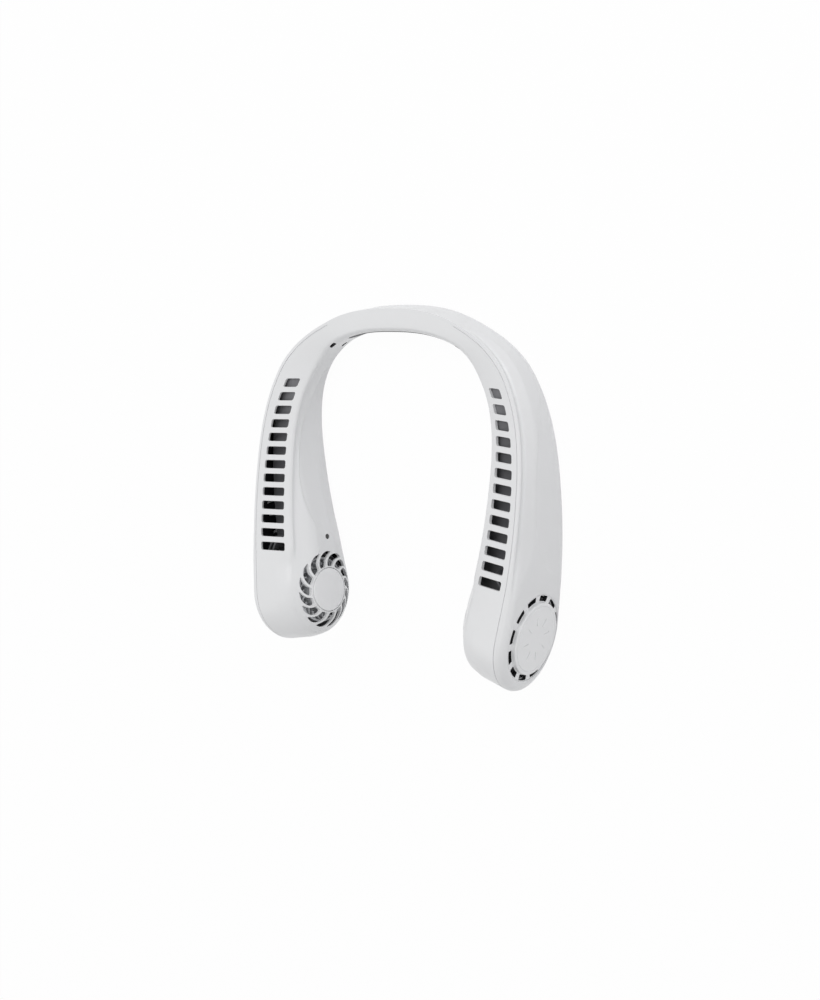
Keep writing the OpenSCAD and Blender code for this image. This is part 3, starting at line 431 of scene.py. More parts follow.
def link(bm, name):
    # The shape becomes an object of the scene
    mesh = bpy.data.meshes.new(name)
    bm.to_mesh(mesh)
    bm.free()
    piece = bpy.data.objects.new(name, mesh)
    bpy.context.scene.collection.objects.link(piece)
    return piece


def skin_from_rings(rings, name, mirror=False, close_first=False):
    columns, rows = len(rings), len(rings[0])
    bm = bmesh.new()
    bmesh.ops.create_grid(bm, x_segments=columns - 1, y_segments=rows, size=0.5)
    bm.verts.ensure_lookup_table()
    for v in bm.verts:
        i = round((v.co.x + 0.5) * (columns - 1))
        j = round((v.co.y + 0.5) * rows)
        v.co = rings[i][j % rows]
    bmesh.ops.remove_doubles(bm, verts=bm.verts, dist=WELD)
    if mirror:
        bmesh.ops.mirror(bm, geom=bm.verts[:] + bm.edges[:] + bm.faces[:], merge_dist=WELD, axis="X")
        bmesh.ops.remove_doubles(bm, verts=bm.verts, dist=WELD)
    if close_first:
        bmesh.ops.holes_fill(bm, edges=[e for e in bm.edges if e.is_boundary], sides=0)
    bmesh.ops.dissolve_degenerate(bm, dist=WELD / 10, edges=bm.edges)
    bmesh.ops.recalc_face_normals(bm, faces=bm.faces)
    print(name, len(bm.faces), "faces,", sum(e.is_boundary for e in bm.edges), "open edges")
    return link(bm, name)


def ring_of(station, layers):
    return ([layer_point(station, 0, layer) for layer in reversed(layers)]
            + [layer_point(station, 1, layer) for layer in layers])


# %% Outer skin of the frame
def frame_layers(station):
    s, half = station["top"][0], station["half"]
    neck = neck_side(s, half)
    outer = cover_side(s, half)
    if station["closed"]:
        return neck + outer
    n = seam_n(s)
    flat = [[n, 0.9 * half * k / (len(outer) - 1)] * 2 + [0] for k in range(len(outer))]
    return neck + flat


frame_stations = band_stations(COVER_START) + stations(COVER_START)
frame_rings = [ring_of(station, frame_layers(station)) for station in frame_stations]
frame_skin = skin_from_rings(frame_rings, "frame_skin", mirror=True)


# %% [markdown]
# ## Cutting and joining shells
# A moulded shell is a solid with a hollow cut out of it. Blender's Boolean modifier does this here: it is
# given all the cutters of one kind at once, and its result is kept as the mesh of the piece.

# %% Boolean helpers
MIRROR = Matrix.Diagonal((-1, 1, 1, 1))


def box(half, center):
    bm = bmesh.new()
    bmesh.ops.create_cube(bm, size=2)
    bmesh.ops.scale(bm, vec=half, verts=bm.verts)
    bmesh.ops.translate(bm, vec=center, verts=bm.verts)
    return bm


def joined(pieces, name):
    bm = bmesh.new()
    for piece in pieces:
        bm.from_mesh(piece.data)
        bpy.data.objects.remove(piece)
    return link(bm, name)


def combine(piece, other, how="DIFFERENCE"):
    modifier = piece.modifiers.new("combine", "BOOLEAN")
    modifier.operation, modifier.solver, modifier.object = how, "MANIFOLD", other
    graph = bpy.context.evaluated_depsgraph_get()
    mesh = bpy.data.meshes.new_from_object(piece.evaluated_get(graph))
    piece.modifiers.clear()
    piece.data = mesh
    bpy.data.objects.remove(other)
    print(piece.name, how.lower(), "->", len(mesh.polygons), "faces")
    return piece


def from_bmesh(bm, name, matrix=Matrix.Identity(4), mirror=False):
    # The shape is drawn in millimetres in its own frame, then put in its place in metres
    bmesh.ops.recalc_face_normals(bm, faces=bm.faces)
    place_matrix = (MIRROR if mirror else Matrix.Identity(4)) @ Matrix.Scale(MM, 4) @ matrix
    bmesh.ops.transform(bm, matrix=place_matrix, verts=bm.verts)
    if mirror:
        bmesh.ops.reverse_faces(bm, faces=bm.faces)
    return link(bm, name)


# %% Frames on the arm and on the fan axis
def rotation(a, axis):
    return Matrix.Rotation(math.radians(a), 4, axis)


def at_arm(s, z, n=0):
    x, y = place(s, 0)
    return Matrix.Translation((x, y, z)) @ rotation(heading(s), "Z") @ Matrix.Translation((n, 0, 0))


def at_fan():
    return at_arm(FAN_S, FAN_Z) @ rotation(90, "Y")


GRILLE_H = neck_n(FAN_S) - BELLY_H
FACE_H = seam_n(FAN_S) + RIM_W + SWELL_HEAD_H
fan_point = at_fan().translation
print("fan axis through", [round(c, 2) for c in fan_point], "grille at", round(GRILLE_H, 2), "face at",
      round(FACE_H, 2))

# %% [markdown]
# ## Hollow of the frame
# The wall is 1.8 mm thick. The hollow follows the outer skin at that distance, is open towards the
# covers in the arms, and is a closed tunnel in the band behind the neck.

# %% Hollow of the frame
HOLLOW_MORE = (0, 0.6, 1, 1.3)
HOLLOW_SHARE = ((8, 16), (0.3, 1))
HOLLOW_MID = ((2.7, 2.7), (2.2, 3.7))
HOLLOW_START = COVER_START + 0.6
HOLLOW_CORNER_WALL = 0.85


def hollow_layers(station):
    s, half, u = station["top"][0], station["half"], dome_share(station["top"][0])
    n, points = neck_n(s), []
    for k, share in enumerate(FLAT_SHARES):
        v, more = u if k else 0, HOLLOW_MORE[k] * np.interp(half, *HOLLOW_SHARE)
        points.append((n - DOME[k][0] * BELLY_H * u + WALL * (1 if k < 3 else HOLLOW_CORNER_WALL),
                       mix(mix(EDGE_R, half, share), DOME[k][1], v) + more, mix(1 - share, 1, v)))
    mid = mix(np.array(HOLLOW_MID[0]), np.array(HOLLOW_MID[1]), u)
    low = n + mix(EDGE_R, DOME_EDGE[-1][0], u)
    out = seam_n(s) + (RIM_W - WALL if station["closed"] else 1)
    points += [(n + mid[0], mid[1], 1), (low, WALL, 1), (out, WALL, 1)]
    return [[p[0], p[1], p[0], p[1], p[2]] for p in curve_through(points, 2, straight=(5,))]


print("layers of the hollow:", len(hollow_layers(arm_station(WIDEN_START))))

# %% Cut the hollow out of the frame
hollow_stations = band_stations(HOLLOW_START) + stations(HOLLOW_START)
hollow_rings = [ring_of(station, hollow_layers(station)) for station in hollow_stations]
hollow_skin = skin_from_rings(hollow_rings, "hollow_skin", mirror=True)


def tree_of(piece):
    bm = bmesh.new()
    bm.from_mesh(piece.data)
    bmesh.ops.triangulate(bm, faces=bm.faces)
    tree = BVHTree.FromBMesh(bm)
    bm.free()
    return tree


hollow_tree = tree_of(hollow_skin)
neck_frame = joined([frame_skin], "neck_frame_shell")
frame_outer = neck_frame.data.copy()
outer_tree = tree_of(neck_frame)
combine(neck_frame, hollow_skin)

# %% [markdown]
# ## Air slots and spiral grille
# Thirteen slots with round corners lie across each arm, all parallel to each other. The grille round the
# fan has fifteen wide openings that curve outwards like the blades of a turbine.

# %% Cutters of the air slots
SLOT_CORNER = 1.2
SLOT_UP, SLOT_DOWN = 3, 5
OPEN_ROWS, OPEN_L = (0, 6, 12), (17.4, 14.8, 9.6)


def slot_cutter(i, mirror):
    s = slot_s(i)
    half_l, half_w = np.interp(i, OPEN_ROWS, OPEN_L) / 2, SLOT_W / 2
    x, y = place(s, 0)
    bm = box((half_l, half_w, (SLOT_UP + SLOT_DOWN) / 2), (0, 0, (SLOT_UP - SLOT_DOWN) / 2))
    upright = [e for e in bm.edges if abs(e.verts[0].co.z - e.verts[1].co.z) > 1]
    bmesh.ops.bevel(bm, geom=upright, offset=SLOT_CORNER, segments=6, profile=0.5, affect="EDGES", material=-1)
    lean = tan(heading(s)) + tan(RISE) * sin(TILT)
    for v in bm.verts:
        v.co.x -= v.co.y * lean
    matrix = (Matrix.Translation((x, y, top_z(s) - seam_n(s) * tan(TILT)))
              @ rotation(-TILT, "Y") @ rotation(-RISE, "X"))
    return from_bmesh(bm, "slot", matrix, mirror)


slots = [slot_cutter(i, mirror) for i in range(SLOT_N) for mirror in (0, 1)]
print("slot cutters:", len(slots))

# %% Cutters of the spiral grille
GRILLE_N = 15
GRILLE_IN_R, GRILLE_OUT_R = 14.8, 24.4
GRILLE_TOP_CUT, GRILLE_LOW_CUT = 3.2, 2
GRILLE_LEAD = 20
GRILLE_HALF_A = 9
GRILLE_CURVE = 2.2
GRILLE_SHARES = ((0, 0.7), (0.1, 1), (0.5, 1.04), (0.85, 0.95), (1, 0.5))
GRILLE_DEPTH = 10


def grille_cutter(at, mirror):
    sides = []
    for side in (1, -1):
        for share, width in curve_through(GRILLE_SHARES, 3):
            a = at + side * width * GRILLE_HALF_A - GRILLE_LEAD * max(0, share) ** GRILLE_CURVE
            out = GRILLE_OUT_R - (GRILLE_TOP_CUT if cos(a) < 0 else GRILLE_LOW_CUT) * cos(a) ** 2
            r = mix(GRILLE_IN_R, out, share)
            sides.append((r * cos(a), r * sin(a), GRILLE_H - 2))
    half = len(sides) // 2
    outline = sides[:half] + sides[:half - 1:-1]
    bm = bmesh.new()
    face = bm.faces.new([bm.verts.new(p) for p in outline])
    grown = bmesh.ops.extrude_face_region(bm, geom=[face])["geom"]
    grown_verts = [v for v in grown if isinstance(v, bmesh.types.BMVert)]
    bmesh.ops.translate(bm, vec=(0, 0, GRILLE_DEPTH), verts=grown_verts)
    return from_bmesh(bm, "grille_opening", at_fan(), mirror)


openings = [grille_cutter(360 * k / GRILLE_N, mirror) for k in range(GRILLE_N) for mirror in (0, 1)]
print("grille cutters:", len(openings))

# %% [markdown]
# ## Small openings and inner parts
# The frame also has a pocket for each grille disc, screw holes, the openings of the charging socket, the
# button and the lens, two small slots near the back and a recess for the pad behind the neck. Round ones
# are cones of equal radii, and one stretched in the middle is a stadium. Inside stand the pads and
# saddles that hold the motors, the cells and the board.

# %% Round and stadium-shaped cutters
DISC_T = 1.4
DISC_R, DISC_GAP = 13.6, 0.4
PAD_T, PAD_R = 2.4, 13
BOARD_S = 118
USB_Y, USB_L, USB_W = 9, 9.2, 3.5
BUTTON_Y, BUTTON_R = -9, 4.1
LENS_S, LENS_Z, LENS_R = FAN_S - HEAD_R - 2.5, 20.8, 1.7
NOTCH_S, NOTCH_Z = 51.6, (5.6, 15.3)
NOTCH_L, NOTCH_W, NOTCH_D = 5, 1.9, 4
SCREW_N, SCREW_R, SCREW_AT_R = 3, 1.1, 8
BOSS_X, BOSS_R, BOSS_TOP = 4.6, 1.7, 5.9
BOARD_HOLE_R, BOARD_HOLE_TOP = 0.95, 8


def cylinder(name, r, low, high, matrix, mirror=False, segments=64, stretch=0):
    bm = bmesh.new()
    bmesh.ops.create_cone(bm, cap_ends=True, segments=segments, radius1=r, radius2=r, depth=high - low)
    bmesh.ops.translate(bm, vec=(0, 0, (low + high) / 2), verts=bm.verts)
    for v in bm.verts:
        v.co.y += math.copysign(stretch, v.co.y) if abs(v.co.y) > WELD else 0
    return from_bmesh(bm, name, matrix, mirror)


holes = [cylinder("pocket", DISC_R + DISC_GAP, GRILLE_H - 1, GRILLE_H + DISC_T, at_fan(), m) for m in (0, 1)]
screw_places = [at_fan() @ rotation(360 / SCREW_N * k, "Z") @ Matrix.Translation((SCREW_AT_R, 0, 0))
                for k in range(SCREW_N)]
screw_holes = [cylinder("screw_hole", SCREW_R, GRILLE_H, GRILLE_H + DISC_T + PAD_T + 1, screw_place, m, 24)
               for screw_place in screw_places for m in (0, 1)]
usb_place, button_place = (at_arm(BOARD_S, 0) @ Matrix.Translation((0, y, 0)) for y in (USB_Y, BUTTON_Y))
holes.append(cylinder("usb_opening", USB_W / 2, -1, WALL + 1, usb_place, True, 48, (USB_L - USB_W) / 2))
holes.append(cylinder("button_opening", BUTTON_R, -1, WALL + 1, button_place, True))
lens_n = neck_n(LENS_S) - BELLY_H * dome_share(LENS_S)
lens_place = at_arm(LENS_S, LENS_Z, lens_n) @ rotation(90, "Y")
holes.append(cylinder("lens_opening", LENS_R, -1, WALL + 1, lens_place, True, 32))
for z in NOTCH_Z:
    for m in (0, 1):
        matrix = at_arm(NOTCH_S, z, neck_n(NOTCH_S)) @ rotation(90, "Y")
        holes.append(cylinder("notch", NOTCH_W / 2, -1, NOTCH_D, matrix, m, 24, (NOTCH_L - NOTCH_W) / 2))
print("small openings:", len(holes), "screw holes:", len(screw_holes))

# %% Strip on the inner face of the band, as the pad itself and as the cutter of its recess
PAD_S, PAD_LOW_Z, PAD_TOP_Z = 39, 3, BACK_H - 3
PAD_SEAT, PAD_PROUD, PAD_CORNER, PAD_EDGE = 1, 0, 2.4, 0.3


def strip(name, gap, proud):
    half_l, low, top = PAD_S + gap, PAD_LOW_Z - gap, PAD_TOP_Z + gap
    turned = [(1 - cos(a)) * PAD_CORNER for a in range(0, 90, 15)]
    ends = [-half_l + d for d in turned]
    middle = list(np.arange(-half_l + PAD_CORNER, half_l - PAD_CORNER, STATION_PITCH))
    rings = []
    for s in ends + middle + [-e for e in reversed(ends)]:
        d = min(PAD_CORNER, half_l - abs(s))
        cut = PAD_CORNER - math.sqrt(PAD_CORNER ** 2 - (PAD_CORNER - d) ** 2)
        z0, z1, face, r = low + cut, top - cut, neck_n(s) - proud, PAD_EDGE
        section = [(neck_n(s) + PAD_SEAT, z0), (face + r, z0), (face + 0.3 * r, z0 + 0.3 * r), (face, z0 + r)]
        section += [(n, z0 + z1 - z) for n, z in reversed(section)]
        rings.append([Vector((*place(s, n), z)) * MM for n, z in section])
    return skin_from_rings(rings, name, close_first=True)


holes.append(strip("pad_recess", 0.1, 2))

# %% Pads, saddles and bosses inside the frame
CELL_S, CELL_R = 172, 7.1
SADDLE_X, SADDLE_H, SADDLE_Y = 6.6, 3, 15
SADDLE_SINK, CELL_GAP = 0.45, 0.05


def saddle(y, mirror):
    bm = box((SADDLE_X, 1, SADDLE_H / 2 + SADDLE_SINK), (0, y, WALL + SADDLE_H / 2 - SADDLE_SINK))
    block = from_bmesh(bm, "saddle", at_arm(CELL_S, 0), mirror)
    bed_place = at_arm(CELL_S, 0) @ Matrix.Translation((0, y, WALL + CELL_R)) @ rotation(90, "X")
    bed = cylinder("bed", CELL_R + CELL_GAP, -3, 3, bed_place, mirror)
    return combine(block, bed)


boss_places = [at_arm(BOARD_S, 0, x) for x in (-BOSS_X, BOSS_X)]
inside = [cylinder("hub_pad", PAD_R, GRILLE_H + WALL / 2, GRILLE_H + DISC_T + PAD_T, at_fan(), m)
          for m in (0, 1)]
inside += [saddle(y, m) for y in (-SADDLE_Y, SADDLE_Y) for m in (0, 1)]
inside += [cylinder("boss", BOSS_R, WALL / 2, BOSS_TOP, boss, True, 24) for boss in boss_places]
combine(neck_frame, joined(inside, "inside_parts"), "UNION")

# %% Cut all openings. Cutters in one cut must not overlap, so there are three cuts
board_holes = [cylinder("board_hole", BOARD_HOLE_R, WALL, BOARD_HOLE_TOP, boss, True, 24)
               for boss in boss_places]
combine(neck_frame, joined(slots + openings, "air_cutters"))
combine(neck_frame, joined(holes, "hole_cutters"))
combine(neck_frame, joined(screw_holes + board_holes, "screw_cutters"))

# %% [markdown]
# ## Clean light on a cut skin
# A Boolean leaves long thin faces round each opening, and these would show as creases in the gloss. The
# uncut skin knows how the surface really turns, so each corner that lies on it takes its normal from
# there. The walls of the openings keep their own sharp normals.

# %% Normals of the uncut skin
ON_SKIN = 0.03 * MM
SHARP_A = 32
SAME_FACE, SAME_TURN = 0.8, 0.7
INWARD = 0.001
NO_AREA = 1e-24


def barycentric(p, a, b, c):
    # Shares of the corners a, b and c at a point p of their triangle
    v0, v1, v2 = b - a, c - a, p - a
    d00, d01, d11, d20, d21 = v0.dot(v0), v0.dot(v1), v1.dot(v1), v2.dot(v0), v2.dot(v1)
    area = d00 * d11 - d01 * d01
    if area < NO_AREA:
        return 1 / 3, 1 / 3, 1 / 3
    v, w = (d11 * d20 - d01 * d21) / area, (d00 * d21 - d01 * d20) / area
    return 1 - v - w, v, w


def smooth_by_angle(mesh):
    # Smooth faces, with sharp edges where two of them meet at more than SHARP_A degrees
    mesh.polygons.foreach_set("use_smooth", [True] * len(mesh.polygons))
    mesh.set_sharp_from_angle(angle=math.radians(SHARP_A))


def triangulated(mesh):
    # A smooth copy of the skin in triangles, and a tree that finds the nearest one
    bm = bmesh.new()
    bm.from_mesh(mesh)
    bmesh.ops.triangulate(bm, faces=bm.faces)
    tree = BVHTree.FromBMesh(bm)
    skin = bpy.data.meshes.new("skin")
    bm.to_mesh(skin)
    bm.free()
    smooth_by_angle(skin)
    return skin, tree


print("a corner belongs to the skin within", ON_SKIN / MM, "mm")


# %% Give the corners on the skin its normals, and the faces of the hollow the painted shade
def dress_skin(piece, skin_mesh, inner_tree=None):
    mesh = piece.data
    skin, skin_tree = triangulated(skin_mesh)
    skin_normals = [Vector(n.vector) for n in skin.corner_normals]
    smooth_by_angle(mesh)
    normals = [Vector(n.vector) for n in mesh.corner_normals]
    on_skin = 0
    for polygon in mesh.polygons:
        center = polygon.center
        _, flat_normal, _, distance = skin_tree.find_nearest(center)
        if distance < ON_SKIN and flat_normal.dot(polygon.normal) > SAME_FACE:
            on_skin += 1
            for corner in polygon.loop_indices:
                point = mesh.vertices[mesh.loops[corner].vertex_index].co
                hit, _, found, _ = skin_tree.find_nearest(point * (1 - INWARD) + center * INWARD)
                loops = skin.polygons[found].loop_indices
                a, b, c = (skin.vertices[skin.loops[i].vertex_index].co for i in loops)
                weights = barycentric(hit, a, b, c)
                turned = sum((skin_normals[i] * w for i, w in zip(loops, weights)), Vector())
                if turned.dot(polygon.normal) > SAME_TURN * turned.length:
                    normals[corner] = turned.normalized()
        # Faces on the hollow take the second material, the painted shade of the inside
        elif inner_tree is not None:
            if inner_tree.find_nearest(center)[3] < ON_SKIN:
                polygon.material_index = 1
    mesh.normals_split_custom_set(normals)
    bpy.data.meshes.remove(skin)
    print(piece.name, "corners on the skin:", on_skin, "of", len(mesh.polygons), "faces")


# %% Finish the frame
def paint_shade_in_notches(piece, skin_tree):
    # The walls of the small notches count as inner faces and take the painted shade: they lie in a notch's box,
    # but not on the skin
    boxes = []
    for z in NOTCH_Z:
        turn = at_arm(NOTCH_S, z, neck_n(NOTCH_S))
        boxes += [(Matrix.Scale(MM, 4) @ turn).inverted(),
                  (MIRROR @ Matrix.Scale(MM, 4) @ turn).inverted()]
    for polygon in piece.data.polygons:
        for to_box in boxes:
            x, y, z = to_box @ polygon.center
            if -1 < x < NOTCH_D and abs(y) < NOTCH_L / 2 + 0.05 and abs(z) < NOTCH_W / 2 + 0.05:
                if skin_tree.find_nearest(polygon.center)[3] > ON_SKIN:
                    polygon.material_index = 1


dress_skin(neck_frame, frame_outer, hollow_tree)
paint_shade_in_notches(neck_frame, outer_tree)
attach(neck_frame, "housing")
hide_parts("neck_frame")

# %% [markdown]
# ## Covers
# Each cover is a dish with a rim along the seam. A groove of 0.4 mm beside the rim makes the fine dark
# line that runs all round the arm, and a lip behind it slides inside the wall of the frame.

# %% Sections of a cover, with its groove and lip, and of its hollow
LIP_H, LIP_T, LIP_GAP = 1.5, 1, 0.35
GROOVE_H, GROOVE_D = 0.4, 0.5
COVER_WALL = WALL + LIP_GAP + LIP_T
SEAT_H = FACE_H - 3.1
LEDGE_R = 24
LEDGE_T = 1.6
CAP_R, CAP_GAP = 25.1, 0.02
LAP = 0.02


def cover_layers(station):
    s, n = station["top"][0], seam_n(station["top"][0])
    edge = [(n - LIP_H, WALL + LIP_GAP), (n, WALL + LIP_GAP), (n, GROOVE_D), (n + GROOVE_H, GROOVE_D),
            (n + GROOVE_H, 0)]
    return [[a, b, a, b, 0] for a, b in edge] + cover_side(s, station["half"])[1:]


def cover_hollow_layers(station):
    s, n = station["top"][0], seam_n(station["top"][0])
    side = cover_side(s, station["half"])[3 * PER_STEP::6]
    return [[n - 2 * LIP_H, COVER_WALL, n - 2 * LIP_H, COVER_WALL, 0], [n, COVER_WALL, n, COVER_WALL, 0]] + [
        [max(c[0] - WALL, n + 0.1), max(c[1], COVER_WALL), max(c[2] - WALL, n + 0.1), max(c[3], COVER_WALL), 0]
        for c in side]


print("wall of a cover with its lip:", COVER_WALL, "mm")


# %% Rings and stations of a cover
def cover_ring(station, layers):
    return ([layer_point(station, 0, layer) for layer in layers]
            + [layer_point(station, 1, layer) for layer in reversed(layers)])


def cover_stations(start, end=0):
    made = stations(start)
    for station in made:
        station["end"] = end * max(0, 1 - (station["top"][0] - start) / (4 * STATION_PITCH))
    return made


print("stations of a cover:", len(cover_stations(COVER_START)))


# %% Seat of the cap and other turned shapes
def seat_profile():
    turns = [(CAP_R + CAP_GAP, SEAT_H), (CAP_R + CAP_GAP, FACE_H - 0.75), (CAP_R + 0.35, FACE_H - 0.42),
             (CAP_R + 1.0, FACE_H - 0.16), (CAP_R + 2.0, FACE_H - 0.02), (CAP_R + 3.2, FACE_H + 0.06)]
    blend = curve_through(turns[1:], 3)
    return [(0, SEAT_H), turns[0]] + [tuple(b) for b in blend] + [(CAP_R + 3.2, FACE_H + 2), (0, FACE_H + 2)]


def spun(profile, name, matrix, mirror=False, segments=160):
    # A closed profile of (radius, height) is spun about the axis
    bm = bmesh.new()
    ring = [bm.verts.new((r, 0, h)) for r, h in profile]
    edges = [bm.edges.new((a, b)) for a, b in zip(ring, ring[1:])]
    if profile[0][0] > 0:
        edges.append(bm.edges.new((ring[-1], ring[0])))
    bmesh.ops.spin(bm, geom=ring + edges, axis=(0, 0, 1), cent=(0, 0, 0), steps=segments,
                   angle=2 * math.pi, use_merge=True)
    bmesh.ops.remove_doubles(bm, verts=bm.verts, dist=1e-4)
    return from_bmesh(bm, name, matrix, mirror)


print("points of the seat's profile:", len(seat_profile()))


# %% Covers
def make_cover(name, node, mirror):
    outer_rings = [cover_ring(st, cover_layers(st)) for st in cover_stations(COVER_START, LAP)]
    inner_rings = [cover_ring(st, cover_hollow_layers(st)) for st in stations(COVER_START + COVER_WALL)]
    outer = skin_from_rings(outer_rings, name, close_first=True)
    inner = skin_from_rings(inner_rings, "cover_hollow", close_first=True)
    whole = outer.data.copy()
    inner_tree = tree_of(inner)
    combine(outer, inner)
    low, top, out = SEAT_H - LEDGE_T, FACE_H - WALL + 0.2, CAP_R + 1.5
    ring_wall = spun([(LEDGE_R, low), (out, low), (out, top), (LEDGE_R, top)], "seat_ring", at_fan())
    combine(outer, ring_wall, "UNION")
    combine(outer, spun(seat_profile(), "seat", at_fan()))
    dress_skin(outer, whole, inner_tree)
    if mirror:
        outer.data.transform(MIRROR)
        outer.data.flip_normals()
    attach(outer, "housing")
    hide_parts(node)
    return outer


covers = [make_cover("right_cover_shell", "right_cover", False),
          make_cover("left_cover_shell", "left_cover", True)]

# %% [markdown]
# ## Caps
# A cap is a dished ring with twelve slots round a raised disc. The disc has a fine engraved circle near
# its edge and a ring of short engraved ticks. Such a turned shape is a profile spun about its axis.

# %% Profile of a cap
CAP_SLOT_IN, CAP_SLOT_OUT, CAP_SLOT_MID = 21.3, 24.6, 22.2
CAP_DISH_H, CAP_RIM_H = FACE_H - 1.05, FACE_H - 0.9
CAP_DISC_R, CAP_HUB_R = 20.9, 18
CAP_TOP_H, CAP_SKIN = FACE_H + 1.4, 1.5
LINE_R, LINE_W, LINE_D = 18.9, 0.5, 0.3


def cap_profile():
    dish = curve_through([(CAP_R, FACE_H - 0.85), (CAP_R - 0.3, FACE_H - 0.62), (CAP_SLOT_OUT, CAP_RIM_H),
                          (CAP_SLOT_IN, CAP_DISH_H), (CAP_DISC_R + 0.25, CAP_DISH_H)], 4)
    edge = [(CAP_DISC_R, CAP_DISH_H + 0.1), (CAP_DISC_R, CAP_TOP_H - 0.45),
            (CAP_DISC_R - 0.06, CAP_TOP_H - 0.22), (CAP_DISC_R - 0.2, CAP_TOP_H - 0.07),
            (CAP_DISC_R - 0.45, CAP_TOP_H)]
    under = [(0, CAP_TOP_H - CAP_SKIN), (CAP_HUB_R, CAP_TOP_H - CAP_SKIN), (CAP_HUB_R, SEAT_H), (CAP_R, SEAT_H)]
    line = [(LINE_R + LINE_W / 2, CAP_TOP_H), (LINE_R, CAP_TOP_H - LINE_D), (LINE_R - LINE_W / 2, CAP_TOP_H)]
    return under + [tuple(p) for p in dish] + edge + line + [(0, CAP_TOP_H)]


print("points of a cap's profile:", len(cap_profile()))

# %% Cutters of the slots and ticks in a cap
CAP_SLOT_N, CAP_BRIDGE, CAP_TURN, CAP_SLOT_CORNER = 12, 3.9, 9, 0.8
MARK_N, MARK_IN, MARK_OUT, MARK_W = 8, 8, 13, 0.6


def cap_slot(k, mirror):
    # The upright section of a slot is spun a part of a turn, and its corners are rounded
    half = 180 / CAP_SLOT_N - math.degrees(CAP_BRIDGE / 2 / CAP_SLOT_MID)
    low, top = SEAT_H - 1, FACE_H + 1
    bm = bmesh.new()
    section = [bm.verts.new((r * cos(-half), r * sin(-half), h))
               for r, h in ((CAP_SLOT_IN, low), (CAP_SLOT_OUT, low), (CAP_SLOT_OUT, top), (CAP_SLOT_IN, top))]
    start = bm.faces.new(section)
    bmesh.ops.spin(bm, geom=[start], axis=(0, 0, 1), cent=(0, 0, 0), steps=10, angle=math.radians(2 * half))
    upright = [e for e in bm.edges if len(e.link_faces) == 2 and abs(e.verts[0].co.z - e.verts[1].co.z) > 1
               and e.calc_face_angle() > 1]
    bmesh.ops.bevel(bm, geom=upright, offset=CAP_SLOT_CORNER, segments=5, profile=0.5, affect="EDGES",
                    material=-1)
    return from_bmesh(bm, "cap_slot", at_fan() @ rotation(CAP_TURN + 360 * k / CAP_SLOT_N, "Z"), mirror)


def cap_tick(k, mirror):
    bm = box(((MARK_OUT - MARK_IN) / 2, MARK_W / 2, 1), ((MARK_OUT + MARK_IN) / 2, 0, CAP_TOP_H + 1 - LINE_D))
    return from_bmesh(bm, "tick", at_fan() @ rotation(360 * k / MARK_N, "Z"), mirror)


print("slots in a cap:", CAP_SLOT_N, "ticks:", MARK_N)


# %% Caps
def paint_shade_on_slot_walls(cap, mirror):
    # The walls of the slots are below the dish and don't face outwards. They count as inner faces and take the
    # painted shade
    axis_frame = at_fan()
    axis_frame.translation *= MM
    if mirror:
        axis_frame = MIRROR @ axis_frame
    to_axis = axis_frame.inverted()
    axis = axis_frame.to_3x3() @ Vector((0, 0, 1))
    for polygon in cap.data.polygons:
        x, y, h = (to_axis @ polygon.center) / MM
        if h < CAP_RIM_H and math.hypot(x, y) > CAP_SLOT_IN - 0.5 and polygon.normal.dot(axis) < 0.5:
            polygon.material_index = 1


def make_cap(name, node, mirror):
    cap = spun(cap_profile(), name, at_fan(), mirror, 192)
    cutters = [cap_slot(k, mirror) for k in range(CAP_SLOT_N)] + [cap_tick(k, mirror) for k in range(MARK_N)]
    combine(cap, joined(cutters, "cap_cutters"))
    smooth_by_angle(cap.data)
    paint_shade_on_slot_walls(cap, mirror)
    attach(cap, "housing")
    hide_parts(node)
    return cap


caps = [make_cap("right_cap_face", "right_cap", False), make_cap("left_cap_face", "left_cap", True)]

# %% [markdown]
# ## Pad behind the neck
# A strip of soft grey rubber lies flush in the inner face of the band. It is the strip that cut the
# recess, a little smaller, so that a fine joint shows round it. What is left of the frame behind it
# carries it, as glue does on the real one.

# %% Neck pad
neck_pad = strip("neck_pad_strip", 0, PAD_PROUD)
smooth_by_angle(neck_pad.data)
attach(neck_pad, "housing")
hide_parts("neck_pad")

# %% [markdown]
# ## Grille discs
# The middle of each spiral grille is closed by a plain round plate with a rounded edge, pressed into its
# pocket. It is a turned shape as well.

# %% Grille discs
def make_disc(name, node, mirror):
    low, top = GRILLE_H, GRILLE_H + DISC_T
    profile = [(0, low), (DISC_R - 0.5, low), (DISC_R - 0.22, low + 0.06), (DISC_R - 0.06, low + 0.22),
               (DISC_R, low + 0.5), (DISC_R, top), (0, top)]
    disc = spun(profile, name, at_fan(), mirror, 128)
    smooth_by_angle(disc.data)
    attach(disc, "housing")
    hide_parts(node)
    return disc


discs = [make_disc("right_disc", "right_grille_disc", False), make_disc("left_disc", "left_grille_disc", True)]

# %% [markdown]
# ## Materials
# The shells are cool white ABS with a satin gloss. A real moulding is never quite even: its gloss varies
# a little over the surface, and light shows a very fine waviness. One node group gives that variation.

# %% Shared group: uneven gloss and fine waviness of moulded plastic
GROUP_INPUTS = (("Base Color", "NodeSocketColor", (0.8, 0.8, 0.8, 1)), ("Variation", "NodeSocketFloat", 0.03),
                ("Roughness", "NodeSocketFloat", 0.35), ("Gloss Variation", "NodeSocketFloat", 0.06),
                ("Patch Scale", "NodeSocketFloat", 60), ("Grain Scale", "NodeSocketFloat", 2500),
                ("Grain Height", "NodeSocketFloat", 0.02))
GROUP_OUTPUTS = (("Base Color", "NodeSocketColor"), ("Roughness", "NodeSocketFloat"),
                 ("Normal", "NodeSocketVector"))
WAVE_HEIGHT = 0.0001


